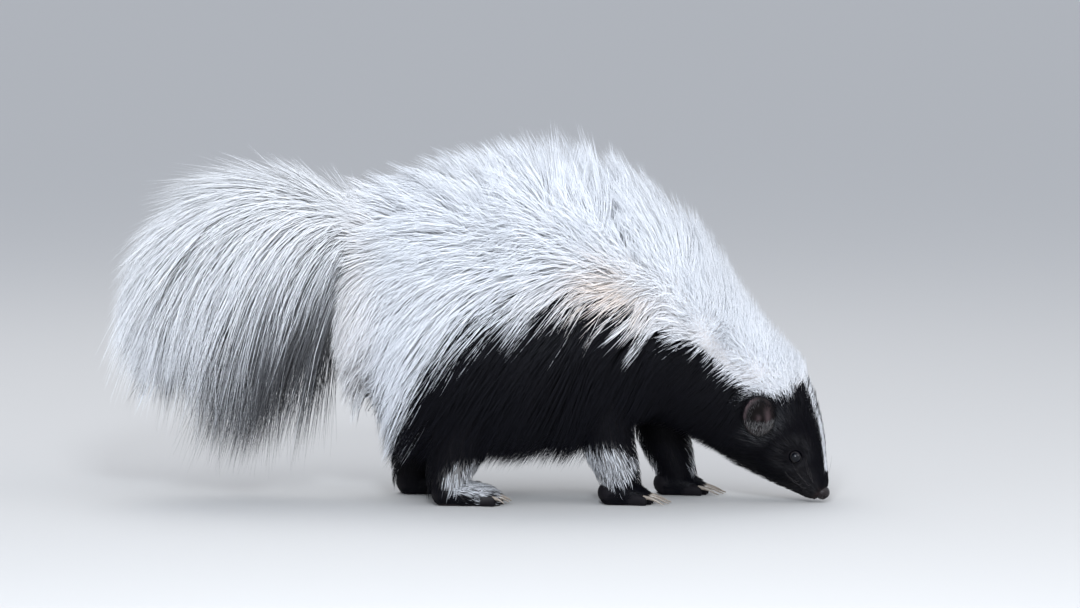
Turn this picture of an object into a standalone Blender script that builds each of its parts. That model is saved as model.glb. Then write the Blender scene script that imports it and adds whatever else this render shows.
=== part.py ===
"""A striped skunk, life size, standing low with its nose to the ground and its tail plume hanging behind.

The animal faces +X, its right side is towards -Y and the ground is z = 0. All sizes are in metres.
Trunk, head, limbs and tail are lofts: oval rings across a curved axis. Each ring has the reach of the
bare body and the depth of the coat over it, so one table of sizes gives both the body and the outline
of its fur. The long coat is built as flat tapered locks, which are rooted in the trunk and the tail.
"""

import math
import random

import bmesh
import bpy
import numpy as np
from mathutils import Matrix, Vector
from mathutils.kdtree import KDTree

# Gap that neighbouring solids keep, how near two corners may come, the shortest edge and the thinnest
# triangle that are kept, and how deep the sole cutter reaches
GAP = 0.0003
PINCH = 0.000002
SHORT = 0.00002
THIN = 0.000004
SOLE_CUT = 0.03

# Trunk, rump to head. Each row is the centre x, y, z of a ring, the bare body's reach up, down and to
# each side, and the coat's depth up, down and to each side.
TRUNK = (
    (-0.090, 0.000, 0.146, 0.045, 0.016, 0.020, 0.030, 0.024, 0.018),  # behind the pelvis
    (-0.078, 0.000, 0.146, 0.050, 0.032, 0.036, 0.031, 0.034, 0.022),
    (-0.058, 0.000, 0.145, 0.057, 0.054, 0.050, 0.034, 0.058, 0.027),  # rump
    (-0.032, 0.000, 0.142, 0.063, 0.066, 0.059, 0.041, 0.047, 0.029),  # haunches
    (0.000, 0.000, 0.138, 0.070, 0.071, 0.061, 0.047, 0.042, 0.029),  # loins
    (0.040, 0.000, 0.135, 0.071, 0.069, 0.057, 0.054, 0.041, 0.028),  # top of the arched back
    (0.080, 0.000, 0.130, 0.066, 0.062, 0.051, 0.043, 0.038, 0.027),  # ribs
    (0.114, 0.000, 0.119, 0.055, 0.054, 0.045, 0.036, 0.030, 0.025),  # shoulders
    (0.142, -0.001, 0.104, 0.043, 0.044, 0.038, 0.025, 0.025, 0.021),  # base of the neck
    (0.167, -0.003, 0.086, 0.036, 0.037, 0.032, 0.019, 0.021, 0.018),  # middle of the neck
    (0.193, -0.005, 0.0667, 0.033, 0.033, 0.028, 0.016, 0.018, 0.014),  # back of the head
)
NECK_ROW = 7.75  # where the neck is parted from the torso, counted in rows of TRUNK
HEAD_ROW = 10.0
CREST_ROW = 5.6  # where the hair of the back stands up the most

# Head: the nose tip, how far the head hangs and turns to its right, and rows counted back from the nose:
# distance back, then reach up, down and to each side, then depth of the short fur up, down and beside.
NOSE_TIP = Vector((0.2372, -0.021, 0.0030))
HEAD_PITCH = math.radians(54)
HEAD_TURN = math.radians(20)
HEAD = (
    (0.080, 0.0330, 0.0330, 0.0280, 0.0080, 0.0170, 0.0075),  # back of the head
    (0.068, 0.0315, 0.0300, 0.0275, 0.0080, 0.0150, 0.0085),  # ears
    (0.056, 0.0295, 0.0265, 0.0260, 0.0060, 0.0135, 0.0070),  # cheeks
    (0.045, 0.0265, 0.0230, 0.0230, 0.0045, 0.0110, 0.0050),  # behind the eyes
    (0.034, 0.0225, 0.0185, 0.0180, 0.0035, 0.0090, 0.0030),  # eyes
    (0.025, 0.0180, 0.0155, 0.0145, 0.0025, 0.0060, 0.0020),  # root of the muzzle
    (0.015, 0.0130, 0.0120, 0.0112, 0.0018, 0.0026, 0.0014),  # muzzle
    (0.007, 0.0090, 0.0085, 0.0088, 0.0010, 0.0012, 0.0010),  # lips
    (0.0025, 0.0052, 0.0054, 0.0060, 0.0004, 0.0005, 0.0004),  # front of the lips
)
EYE_BACK, EYE_UP, EYE_OUT = 0.0330, 0.0055, 0.0160
EYE_RADIUS = 0.0047
LID_RADIUS = 0.0010
EAR_BACK, EAR_UP, EAR_OUT = 0.0690, 0.0065, 0.0365
EAR_HEIGHT, EAR_WIDTH, EAR_DEPTH = 0.0300, 0.0230, 0.0130
EAR_WALL = 0.0016
MOUTH_CORNER, MOUTH_GROOVE = 0.024, 0.00055
PAD_WIDTH, PAD_HEIGHT, PAD_LENGTH = 0.0122, 0.0098, 0.0100
NOSTRIL = 0.0014

# Tail, root to the end of its bones. Rows as for the trunk; up is the outer side of its arch.
TAIL = (
    (-0.060, 0.000, 0.164, 0.015, 0.015, 0.016, 0.010, 0.010, 0.010),  # inside the rump
    (-0.091, 0.000, 0.180, 0.015, 0.015, 0.016, 0.030, 0.036, 0.030),  # root
    (-0.121, 0.000, 0.192, 0.013, 0.013, 0.014, 0.026, 0.050, 0.038),
    (-0.150, 0.000, 0.197, 0.012, 0.012, 0.013, 0.028, 0.056, 0.042),  # top of the arch
    (-0.178, 0.000, 0.194, 0.010, 0.010, 0.011, 0.032, 0.056, 0.042),
    (-0.202, 0.000, 0.180, 0.009, 0.009, 0.009, 0.028, 0.050, 0.040),
    (-0.217, 0.000, 0.155, 0.007, 0.007, 0.007, 0.024, 0.046, 0.038),
    (-0.224, 0.000, 0.128, 0.005, 0.005, 0.005, 0.021, 0.040, 0.032),
    (-0.226, 0.000, 0.108, 0.003, 0.003, 0.003, 0.018, 0.030, 0.026),  # end of the bones
)
# Where the tail's rings of locks are rooted, in rows of TAIL, and how long each ring's locks are
TAIL_RINGS = (
    (0.9, 0.090),
    (1.7, 0.142),
    (2.6, 0.150),
    (3.5, 0.144),
    (4.5, 0.132),
    (5.4, 0.114),
    (6.4, 0.086),
    (7.4, 0.060),
)
TAIL_AROUND = 6

# Limbs from the body down: centre x, z, then reach forward, back and sideways with the short fur.
FORELEG = (
    (0.000, 0.090, 0.024, 0.024, 0.019),
    (-0.002, 0.066, 0.023, 0.023, 0.019),
    (0.000, 0.044, 0.020, 0.021, 0.018),
    (0.006, 0.026, 0.016, 0.018, 0.016),
    (0.010, 0.012, 0.014, 0.015, 0.015),
)
HINDLEG = (
    (-0.006, 0.096, 0.034, 0.032, 0.022),
    (0.004, 0.070, 0.031, 0.029, 0.021),
    (0.002, 0.046, 0.025, 0.024, 0.019),
    (-0.004, 0.027, 0.019, 0.019, 0.017),
    (-0.006, 0.012, 0.015, 0.016, 0.016),
)
FORE_HALF_TRACK, HIND_HALF_TRACK = 0.031, 0.036
FORE_RIGHT_X, FORE_LEFT_X = 0.088, 0.128
HIND_RIGHT_X, HIND_LEFT_X = -0.018, -0.044

# Feet: length from heel to toe roots, half width, height, then toes and claws
FOREPAW = {"length": 0.026, "half": 0.0125, "height": 0.017, "toe": 0.013, "claw": 0.0150, "droop": 0.0060}
HINDPAW = {"length": 0.038, "half": 0.0130, "height": 0.018, "toe": 0.012, "claw": 0.0085, "droop": 0.0035}
TOES = 5
TOE_RADIUS, CLAW_RADIUS, CLAW_TIP = 0.0042, 0.0014, 0.00035
TOE_SPREAD = math.radians(34)  # angle between the two outer toes

# Coat: how much of its depth is solid under the locks, and the shape of one lock
CORE_SHARE = 0.48
NECK_CORE_SHARE = 0.50
TAIL_CORE_SHARE = 0.20
TORSO_ROWS, TORSO_AROUND, TORSO_LOCK = 7, 11, 0.040
NECK_ROWS, NECK_AROUND, NECK_LOCK = 3, 9, 0.027
TAIL_LOCK = 0.21  # of its length
TWIST = 0.7  # the furthest that a lock of the back turns on itself, in radians
LOCK_THICK = 0.13  # of its width
LOCK_RINGS = ((0.0, 0.75), (0.34, 1.0), (0.70, 0.62))  # place along it, share of its width
PATH_STEPS = 6
SEED = 7

WHITE = (0.86, 0.86, 0.88, 1.0)
BLACK = (0.022, 0.021, 0.026, 1.0)
SKIN = (0.10, 0.075, 0.075, 1.0)
EYE = (0.010, 0.009, 0.012, 1.0)


def clear_scene():
    for obj in list(bpy.data.objects):
        bpy.data.objects.remove(obj)


def new_collection(name):
    made = bpy.data.collections.new(name)
    bpy.context.scene.collection.children.link(made)
    return made


def material(name, colour, roughness):
    made = bpy.data.materials.new(name)
    made.use_nodes = True
    shader = made.node_tree.nodes["Principled BSDF"]
    shader.inputs["Base Color"].default_value = colour
    shader.inputs["Roughness"].default_value = roughness
    shader.inputs["Metallic"].default_value = 0.0
    return made


class Loft:
    """Oval rings across a smooth axis. Rows hold centre, reach up, down and sideways, and coat depths."""

    def __init__(self, rows, side_hint):
        self.rows = np.array(rows, float)
        self.hint = np.array(side_hint, float)

    def at(self, t):
        """The row at place t, on a smooth curve through the rows that goes on straight past its ends."""
        last = len(self.rows) - 1
        if t < 0:
            return self.rows[0] + (self.rows[1] - self.rows[0]) * t
        if t > last:
            return self.rows[last] + (self.rows[last] - self.rows[last - 1]) * (t - last)
        i = min(int(t), last - 1)
        f = t - i
        before, start, end, after = (self.rows[min(max(i + k, 0), last)] for k in (-1, 0, 1, 2))
        bend = f * f * (3 - 2 * f)
        line = start + (end - start) * f
        pull = 0.5 * ((end - before) * (f - 2 * f * f + f**3) + (after - start) * (f**3 - f * f))
        ends = start * (1 - bend) + end * bend
        return ends + pull if 0 < i < last - 1 else 0.5 * (line + ends + pull)

    def frame(self, t):
        """Along, up and side unit vectors of the ring at t."""
        along = self.at(t + 0.05)[:3] - self.at(t - 0.05)[:3]
        along /= np.linalg.norm(along)
        side = self.hint - self.hint.dot(along) * along
        side /= np.linalg.norm(side)
        return along, np.cross(side, along), side

    def point(self, t, angle, share):
        """A point of the ring at t, at an angle from its top, with that share of the coat's depth added."""
        row = self.at(t)
        _, up, side = self.frame(t)
        reach = row[3:6] + share * row[6:9]
        rise = math.cos(angle) * (reach[0] if math.cos(angle) >= 0 else reach[1])
        return row[:3] + up * rise + side * math.sin(angle) * reach[2]

    def directions(self, t, angle, share):
        """Outward, backward and downward unit vectors on the surface at t and angle."""
        step = 0.02
        ahead = self.point(t + step, angle, share) - self.point(t - step, angle, share)
        around = self.point(t, angle + step, share) - self.point(t, angle - step, share)
        ahead /= np.linalg.norm(ahead)
        around /= np.linalg.norm(around)
        out = np.cross(around, ahead)
        out /= np.linalg.norm(out)
        if out.dot(self.point(t, angle, share) - self.at(t)[:3]) < 0:
            out = -out
        return out, -ahead, around if math.sin(angle) >= 0 else -around

    def coat(self, t, angle):
        """Depth of the coat at t and angle."""
        up, down, side = self.at(t)[6:9]
        c, s = math.cos(angle), math.sin(angle)
        return math.hypot(c * (up if c >= 0 else down), s * side)


def mesh_object(name, vertices, faces, collection):
    mesh = bpy.data.meshes.new(name)
    mesh.from_pydata([tuple(v) for v in vertices], [], faces)
    shape = bmesh.new()
    shape.from_mesh(mesh)
    bmesh.ops.recalc_face_normals(shape, faces=shape.faces)
    shape.to_mesh(mesh)
    shape.free()
    mesh.validate()
    made = bpy.data.objects.new(name, mesh)
    collection.objects.link(made)
    return made


def tube_faces(rings, around):
    """Triangles between rings of points, and a fan of them over each end."""
    faces, end = [], (rings - 1) * around
    for i, j in [(i, j) for i in range(0, end, around) for j in range(around)]:
        k = (j + 1) % around
        faces += [(i + j, i + around + j, i + k), (i + k, i + around + j, i + around + k)]
    faces += [(0, j, j + 1) for j in range(1, around - 1)]
    faces += [(end, end + j + 1, end + j) for j in range(1, around - 1)]
    return faces


def loft_object(name, loft, first, last, rings, around, share, collection):
    """A closed solid of the loft from place first to place last. share may be one number or two."""
    near, far = share if isinstance(share, tuple) else (share, share)
    points = []
    for i in range(rings):
        f = i / (rings - 1)
        t = first + (last - first) * f
        points += [loft.point(t, 2 * math.pi * j / around, near + (far - near) * f) for j in range(around)]
    return mesh_object(name, points, tube_faces(rings, around), collection)


def bake(obj):
    """Replaces the object's mesh by what its modifiers make of it."""
    bpy.context.view_layer.update()
    graph = bpy.context.evaluated_depsgraph_get()
    made = bpy.data.meshes.new_from_object(obj.evaluated_get(graph))
    obj.modifiers.clear()
    obj.data = made


def part_pinches(shape):
    """Draws corners that touch without sharing an edge a little apart, each towards its own neighbours."""
    shape.verts.ensure_lookup_table()
    tree = KDTree(len(shape.verts))
    for vertex in shape.verts:
        tree.insert(vertex.co, vertex.index)
    tree.balance()
    for vertex in shape.verts:
        near = [shape.verts[i] for _, i, _ in tree.find_range(vertex.co, PINCH) if i != vertex.index]
        around = [edge.other_vert(vertex) for edge in vertex.link_edges]
        if any(other not in around for other in near):
            centre = sum((other.co for other in around), Vector()) / len(around)
            vertex.co += (centre - vertex.co).normalized() * PINCH * 8


def close_slivers(shape):
    """Closes up very short edges, and turns the long edge of triangles that are almost flat lines."""
    bmesh.ops.triangulate(shape, faces=[face for face in shape.faces if len(face.verts) > 3])
    for edge in sorted(shape.edges, key=lambda e: e.calc_length()):
        if edge.is_valid and edge.calc_length() < SHORT:
            near = [{e.other_vert(v) for e in v.link_edges} for v in edge.verts]
            if len(near[0] & near[1]) == 2:
                middle = (edge.verts[0].co + edge.verts[1].co) / 2
                bmesh.ops.pointmerge(shape, verts=list(edge.verts), merge_co=middle)
    for face in list(shape.faces):
        if face.is_valid:
            longest = max(face.edges, key=lambda e: e.calc_length())
            if 2 * face.calc_area() < THIN * longest.calc_length() and len(longest.link_faces) == 2:
                tips = [v for f in longest.link_faces for v in f.verts if v not in longest.verts]
                if shape.edges.get(tips) is None:
                    bmesh.ops.rotate_edges(shape, edges=[longest])


def keep_largest(obj):
    """Drops all but the largest closed surface of the object's mesh."""
    shape = bmesh.new()
    shape.from_mesh(obj.data)
    left, groups = set(shape.verts), []
    while left:
        todo, group = [left.pop()], set()
        while todo:
            vertex = todo.pop()
            group.add(vertex)
            for edge in vertex.link_edges:
                other = edge.other_vert(vertex)
                if other in left:
                    left.remove(other)
                    todo.append(other)
        groups.append(group)
    kept = max(groups, key=len)
    bmesh.ops.delete(shape, geom=[v for v in shape.verts if v not in kept], context="VERTS")
    for _ in range(2):
        close_slivers(shape)
    part_pinches(shape)
    shape.to_mesh(obj.data)
    shape.free()


def unite(obj, pieces):
    """Joins every object of the pieces collection to obj with one Boolean, and removes them."""
    join = obj.modifiers.new("join", "BOOLEAN")
    join.operation = "UNION"
    join.operand_type = "COLLECTION"
    join.collection = pieces
    join.solver = "MANIFOLD"
    bake(obj)
    for piece in list(pieces.objects):
        bpy.data.objects.remove(piece)
    bpy.data.collections.remove(pieces)
    keep_largest(obj)


def cut(obj, cutter):
    """Takes the cutter out of obj."""
    less = obj.modifiers.new("cut", "BOOLEAN")
    less.operation = "DIFFERENCE"
    less.object = cutter
    less.solver = "MANIFOLD"
    bake(obj)
    keep_largest(obj)


def swollen(obj, by, helpers):
    """A copy of obj with its surface moved out by a small distance, to cut its neighbours with."""
    copy = bpy.data.objects.new(obj.name + "_cutter", obj.data.copy())
    helpers.objects.link(copy)
    shape = bmesh.new()
    shape.from_mesh(copy.data)
    bmesh.ops.triangulate(shape, faces=[face for face in shape.faces if len(face.verts) > 3])
    shape.normal_update()
    moved = [(v, v.normal * by * min(v.calc_shell_factor(), 2.0)) for v in shape.verts]
    for vertex, step in moved:
        vertex.co += step
    shape.to_mesh(copy.data)
    shape.free()
    copy.hide_render = True
    copy.display_type = "WIRE"
    return copy


def clear_of(obj, neighbours, helpers):
    """Cuts obj so that it keeps the gap to each neighbour."""
    for neighbour in neighbours:
        cutter = swollen(neighbour, GAP * 1.2, helpers)
        cut(obj, cutter)
        bpy.data.objects.remove(cutter)


def lock_object(lock, grown, collection):
    """One flat, tapered lock. lock is its path, the way its broad face looks, its width and its twist."""
    path, flat, width, twist = lock
    points = []
    spans = len(path) - 1
    chord = path[-1] - path[0]
    across = np.cross(path[spans // 2] - path[0], chord)
    if np.linalg.norm(across) < 0.02 * chord.dot(chord):
        across = np.cross(chord, flat)
    for place, share in LOCK_RINGS:
        at = place * spans
        i = min(int(at), spans - 1)
        centre = path[i] + (path[i + 1] - path[i]) * (at - i)
        along = path[i + 1] - path[i]
        along /= np.linalg.norm(along)
        broad = across - across.dot(along) * along
        broad /= np.linalg.norm(broad)
        face = np.cross(broad, along)
        broad, face = broad * math.cos(twist) + face * math.sin(twist), face * math.cos(twist) - broad * math.sin(twist)
        half = broad * (width * share / 2 + grown)
        thick = face * (width * LOCK_THICK * share / 2 + grown)
        points += [centre + half, centre + thick, centre - half, centre - thick]
    end = path[-1] - path[-2]
    points.append(path[-1] + end / np.linalg.norm(end) * 3 * grown)
    base = (len(LOCK_RINGS) - 1) * 4
    faces = [(0, 1, 2), (0, 2, 3)]
    for i, j in [(i, j) for i in range(0, base, 4) for j in range(4)]:
        k = (j + 1) % 4
        faces += [(i + j, i + 4 + j, i + k), (i + k, i + 4 + j, i + 4 + k)]
    faces += [(base + j, len(points) - 1, base + (j + 1) % 4) for j in range(4)]
    return mesh_object("lock", points, faces, collection)


def with_locks(core, locks, grown=0.0):
    """Joins the locks to a core. grown makes them fatter, for a cutter that leaves a gap around them."""
    pieces = new_collection("locks")
    for lock in locks:
        lock_object(lock, grown, pieces)
    unite(core, pieces)
    return core


def blend(angle, top, side, bottom):
    """A value that goes from top over side to bottom as the angle goes round."""
    c = math.cos(angle)
    return side + (top - side) * max(c, 0) ** 1.5 + (bottom - side) * max(-c, 0) ** 1.5


def curved_path(root, middle, tip):
    """Points of a curve that leaves the root towards the middle point and ends at the tip."""
    steps = [i / PATH_STEPS for i in range(PATH_STEPS + 1)]
    return [root * (1 - f) ** 2 + middle * 2 * f * (1 - f) + tip * f * f for f in steps]


def trunk_lock(loft, t, angle, share, width, rng):
    """A lock that rises from the core, leans back and down, and ends at the outer surface of the coat."""
    out, _, _ = loft.directions(t, angle, share)
    coat = loft.coat(t, angle)
    row_length = np.linalg.norm(loft.at(t + 0.5)[:3] - loft.at(t - 0.5)[:3])
    crest = max(0.0, 1 - abs(t - CREST_ROW) / 1.8)
    low_rear = 0.3 + 0.7 * min(1.0, t / 4)
    leaning = blend(angle, 1.25 - 0.65 * crest, 0.9 * low_rear, 0.8 * low_rear) * rng.uniform(0.85, 1.15)
    girth = loft.at(t)[5] + share * loft.at(t)[8]
    sinking = blend(angle, 0.0, 2.3, 0.0) * coat / girth * rng.uniform(0.85, 1.15)
    turned = angle + math.copysign(sinking, math.sin(angle)) + rng.uniform(-0.06, 0.06)
    tip = loft.point(max(t - leaning * coat / row_length, -0.6), turned, rng.uniform(0.94, 1.06))
    root = loft.point(t, angle, share)
    rise = coat * (1 - share)
    middle = root + out * rise * 0.75 + (tip - root - out * np.dot(tip - root, out)) * 0.35
    twist = rng.uniform(-1, 1) * TWIST * blend(angle, 1.0, 0.25, 0.5) * min(1.0, t / 2)
    return curved_path(root - out * 0.22 * width, middle, tip), out, width * rng.uniform(0.9, 1.12), twist


def trunk_locks(loft, first, last, share, rows, around, width, rng):
    """Rings of locks from place first back to place last, each turned half a lock, and closer on the back."""
    locks = []
    for row in range(rows):
        t = first + (last - first) * row / (rows - 1)
        for j in range(around):
            turn = 2 * math.pi * (j + 0.5 * (row % 2) + rng.uniform(-0.12, 0.12)) / around
            angle = turn - 0.35 * math.sin(turn)
            locks.append(trunk_lock(loft, t, angle, share, width * blend(angle, 0.66, 1.1, 1.0), rng))
    return locks


def tail_lock(loft, t, angle, share, long, rng):
    """A lock that follows the top of the tail, or spreads from its side, and hangs under its own weight."""
    out, back, _ = loft.directions(t, angle, share)
    row_length = np.linalg.norm(loft.at(t + 0.5)[:3] - loft.at(t - 0.5)[:3])
    long *= rng.uniform(0.92, 1.06)
    root = loft.point(t, angle, share)
    ahead = t + long * blend(angle, 0.74, 0.40, 0.16) / row_length
    hang = np.array((0.0, 0.0, -1.0)) * long * blend(angle, 0.04, 0.62, 0.84)
    tip = loft.point(ahead, angle, blend(angle, 1.0, 1.1, 0.7)) + hang
    middle = root - back * long * blend(angle, 0.36, 0.34, 0.20) + out * long * blend(angle, 0.17, 0.27, 0.10)
    width = long * TAIL_LOCK * rng.uniform(0.9, 1.1)
    return curved_path(root - out * 0.3 * width, middle, tip), out, width, rng.uniform(-0.3, 0.3)


def tail_locks(loft, share, rng):
    """The tail's rings of locks, each turned half a lock from the ring before."""
    locks = []
    for row, (t, long) in enumerate(TAIL_RINGS):
        for j in range(TAIL_AROUND):
            angle = 2 * math.pi * (j + 0.5 * (row % 2) + rng.uniform(-0.1, 0.1)) / TAIL_AROUND
            locks.append(tail_lock(loft, t, angle, share, long, rng))
    return locks


def head_axes():
    """Forward, up and right unit vectors of the head."""
    forward = Vector(
        (
            math.cos(HEAD_PITCH) * math.cos(HEAD_TURN),
            -math.cos(HEAD_PITCH) * math.sin(HEAD_TURN),
            -math.sin(HEAD_PITCH),
        )
    )
    right = Vector((-math.sin(HEAD_TURN), -math.cos(HEAD_TURN), 0))
    return forward, right.cross(forward), right


def head_place(back, up, right):
    """The point that far back from the nose tip, up, and to the right in the head's own axes."""
    forward, upward, side = head_axes()
    return NOSE_TIP - forward * back + upward * up + side * right


def head_loft():
    right = head_axes()[2]
    rows = [(*head_place(row[0], 0, 0), *row[1:]) for row in HEAD]
    return Loft(rows, right)


def ball(name, centre, radii, axes, collection, segments=16, rings=10):
    """An ellipsoid with its three half sizes along the three axes."""
    shape = bmesh.new()
    bmesh.ops.create_uvsphere(shape, u_segments=segments, v_segments=rings, radius=1.0)
    for vertex in shape.verts:
        x, y, z = vertex.co
        vertex.co = Vector(centre) + axes[0] * x * radii[0] + axes[1] * y * radii[1] + axes[2] * z * radii[2]
    shape.normal_update()
    bmesh.ops.recalc_face_normals(shape, faces=shape.faces)
    mesh = bpy.data.meshes.new(name)
    shape.to_mesh(mesh)
    shape.free()
    made = bpy.data.objects.new(name, mesh)
    collection.objects.link(made)
    return made


def tube_along(name, points, radius, collection, sides=1):
    """A round tube through the points, made a mesh with its caps welded."""
    curve = bpy.data.curves.new(name, "CURVE")
    curve.dimensions = "3D"
    curve.bevel_depth = radius
    curve.bevel_resolution = sides
    curve.use_fill_caps = True
    line = curve.splines.new("POLY")
    line.points.add(len(points) - 1)
    for spot, point in zip(line.points, points):
        spot.co = (*point, 1.0)
    guide = bpy.data.objects.new(name, curve)
    collection.objects.link(guide)
    bpy.context.view_layer.update()
    graph = bpy.context.evaluated_depsgraph_get()
    mesh = bpy.data.meshes.new_from_object(guide.evaluated_get(graph))
    bpy.data.objects.remove(guide)
    shape = bmesh.new()
    shape.from_mesh(mesh)
    bmesh.ops.remove_doubles(shape, verts=shape.verts, dist=radius * 0.02)
    bmesh.ops.recalc_face_normals(shape, faces=shape.faces)
    shape.to_mesh(mesh)
    shape.free()
    made = bpy.data.objects.new(name, mesh)
    collection.objects.link(made)
    return made


def make_head(body, helpers):
    loft = head_loft()
    last = len(HEAD) - 1
    head = loft_object("head", loft, 0.0, last, 13, 18, 1.0, body)
    lids = new_collection("lids")
    for name, side in (("right", 1), ("left", -1)):
        forward, upward, right = head_axes()
        centre = head_place(EYE_BACK, EYE_UP, EYE_OUT * side)
        outward = (right * side * 0.90 + forward * 0.36 + upward * 0.25).normalized()
        across = (forward - outward * forward.dot(outward)).normalized()
        along = outward.cross(across)
        ring = []
        turns = 12
        for i in range(turns):
            a = 2 * math.pi * i / turns
            ring.append(
                centre
                + outward * EYE_RADIUS * 0.62
                + across * math.cos(a) * EYE_RADIUS * 0.95
                + along * math.sin(a) * EYE_RADIUS * 0.78
            )
        lid_ring(f"lid_{name}", ring, centre, LID_RADIUS, lids)
    unite(head, lids)
    mouth = [head_surface(loft, back, angle) for back, angle in mouth_line()]
    groove = tube_along("mouth_groove", mouth, MOUTH_GROOVE, helpers)
    cut(head, groove)
    bpy.data.objects.remove(groove)
    return head


def lid_ring(name, ring, centre, radius, collection):
    """A closed ring of round section through the points, for the rim of the lids."""
    sides, points, faces = 5, [], []
    count = len(ring)
    for i in range(count):
        along = (ring[(i + 1) % count] - ring[i - 1]).normalized()
        out = (ring[i] - centre).normalized()
        across = along.cross(out).normalized()
        for j in range(sides):
            a = 2 * math.pi * j / sides
            points.append(ring[i] + out * math.cos(a) * radius + across * math.sin(a) * radius)
    for i in range(count):
        for j in range(sides):
            k, m = (i + 1) % count, (j + 1) % sides
            faces.append((i * sides + j, i * sides + m, k * sides + m, k * sides + j))
    return mesh_object(name, points, faces, collection)


def head_surface(loft, back, angle):
    """The head's outer surface at a distance back from the nose and an angle from its top."""
    backs = [row[0] for row in HEAD]
    row = float(np.interp(-back, [-b for b in backs], range(len(backs))))
    return Vector(loft.point(row, angle, 1.0))


def mouth_line():
    """Places of the line between the lips, from the right corner round the front to the left corner."""
    line = []
    steps = 7
    for i in range(-steps, steps + 1):
        f = abs(i) / steps
        back = 0.0030 + (MOUTH_CORNER - 0.0030) * f
        angle = math.radians(178 - 66 * min(1, 2.2 * f) ** 0.8 + 10 * f)
        line.append((back, angle if i < 0 else 2 * math.pi - angle))
    return line


def make_eyes(body, head, helpers):
    axes = (Vector((1, 0, 0)), Vector((0, 1, 0)), Vector((0, 0, 1)))
    eyes = []
    for name, side in (("right", 1), ("left", -1)):
        centre = head_place(EYE_BACK, EYE_UP, EYE_OUT * side)
        eye = ball(f"eye_{name}", centre, (EYE_RADIUS,) * 3, axes, body, 12, 6)
        socket = ball("socket", centre, (EYE_RADIUS + GAP,) * 3, axes, helpers, 12, 6)
        cut(head, socket)
        bpy.data.objects.remove(socket)
        eyes.append(eye)
    return eyes


def make_nose(body, head, helpers):
    """The nose pad, rounded, with two nostrils and the groove between them."""
    forward, upward, right = head_axes()
    centre = head_place(0.0030, 0.0022, 0)
    radii = (PAD_LENGTH / 2, PAD_WIDTH / 2, PAD_HEIGHT / 2)
    nose = ball("nose", centre, radii, (forward, right, upward), body, 12, 8)
    for side in (1, -1):
        spot = centre + forward * PAD_LENGTH * 0.40 + right * side * PAD_WIDTH * 0.27 + upward * PAD_HEIGHT * 0.02
        hole = ball("nostril", spot, (NOSTRIL * 2.0, NOSTRIL * 1.25, NOSTRIL * 0.85), (forward, right, upward), helpers, 8, 6)
        cut(nose, hole)
        bpy.data.objects.remove(hole)
    slot = [centre + forward * PAD_LENGTH * 0.52 + upward * PAD_HEIGHT * h for h in (0.1, -0.25, -0.7)]
    groove = tube_along("nose_groove", slot, 0.0004, helpers, 1)
    cut(nose, groove)
    bpy.data.objects.remove(groove)
    seat = ball("nose_seat", centre, [r + GAP for r in radii], (forward, right, upward), helpers, 12, 8)
    cut(head, seat)
    bpy.data.objects.remove(seat)
    return nose


def make_ears(body, head, helpers):
    """Low round ears: a flattened ball, hollowed from outside and in front into a cup."""
    forward, upward, right = head_axes()
    ears, seats = [], []
    for name, side in (("right", 1), ("left", -1)):
        tall = (upward * 0.62 - forward * 0.74 + right * side * 0.26).normalized()
        face = (right * side * 0.80 + forward * 0.58 + upward * 0.10)
        face = (face - tall * face.dot(tall)).normalized()
        wide = tall.cross(face)
        centre = head_place(EAR_BACK, EAR_UP, EAR_OUT * side)
        radii = (EAR_HEIGHT / 2, EAR_WIDTH / 2, EAR_DEPTH / 2)
        ear = ball(f"ear_{name}", centre, radii, (tall, wide, face), body, 14, 8)
        hollow_centre = centre + face * EAR_DEPTH * 0.34 + tall * 0.0008
        inner = [r - EAR_WALL for r in radii]
        hollow = ball("ear_hollow", hollow_centre, (inner[0], inner[1], inner[2] * 1.05), (tall, wide, face), helpers, 12, 6)
        cut(ear, hollow)
        bpy.data.objects.remove(hollow)
        clear_of(ear, [head], helpers)
        ears.append(ear)
        grown = [r + GAP * 1.3 for r in radii]
        seats.append(ball("ear_seat", centre, grown, (tall, wide, face), helpers, 14, 8))
    return ears, seats


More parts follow.
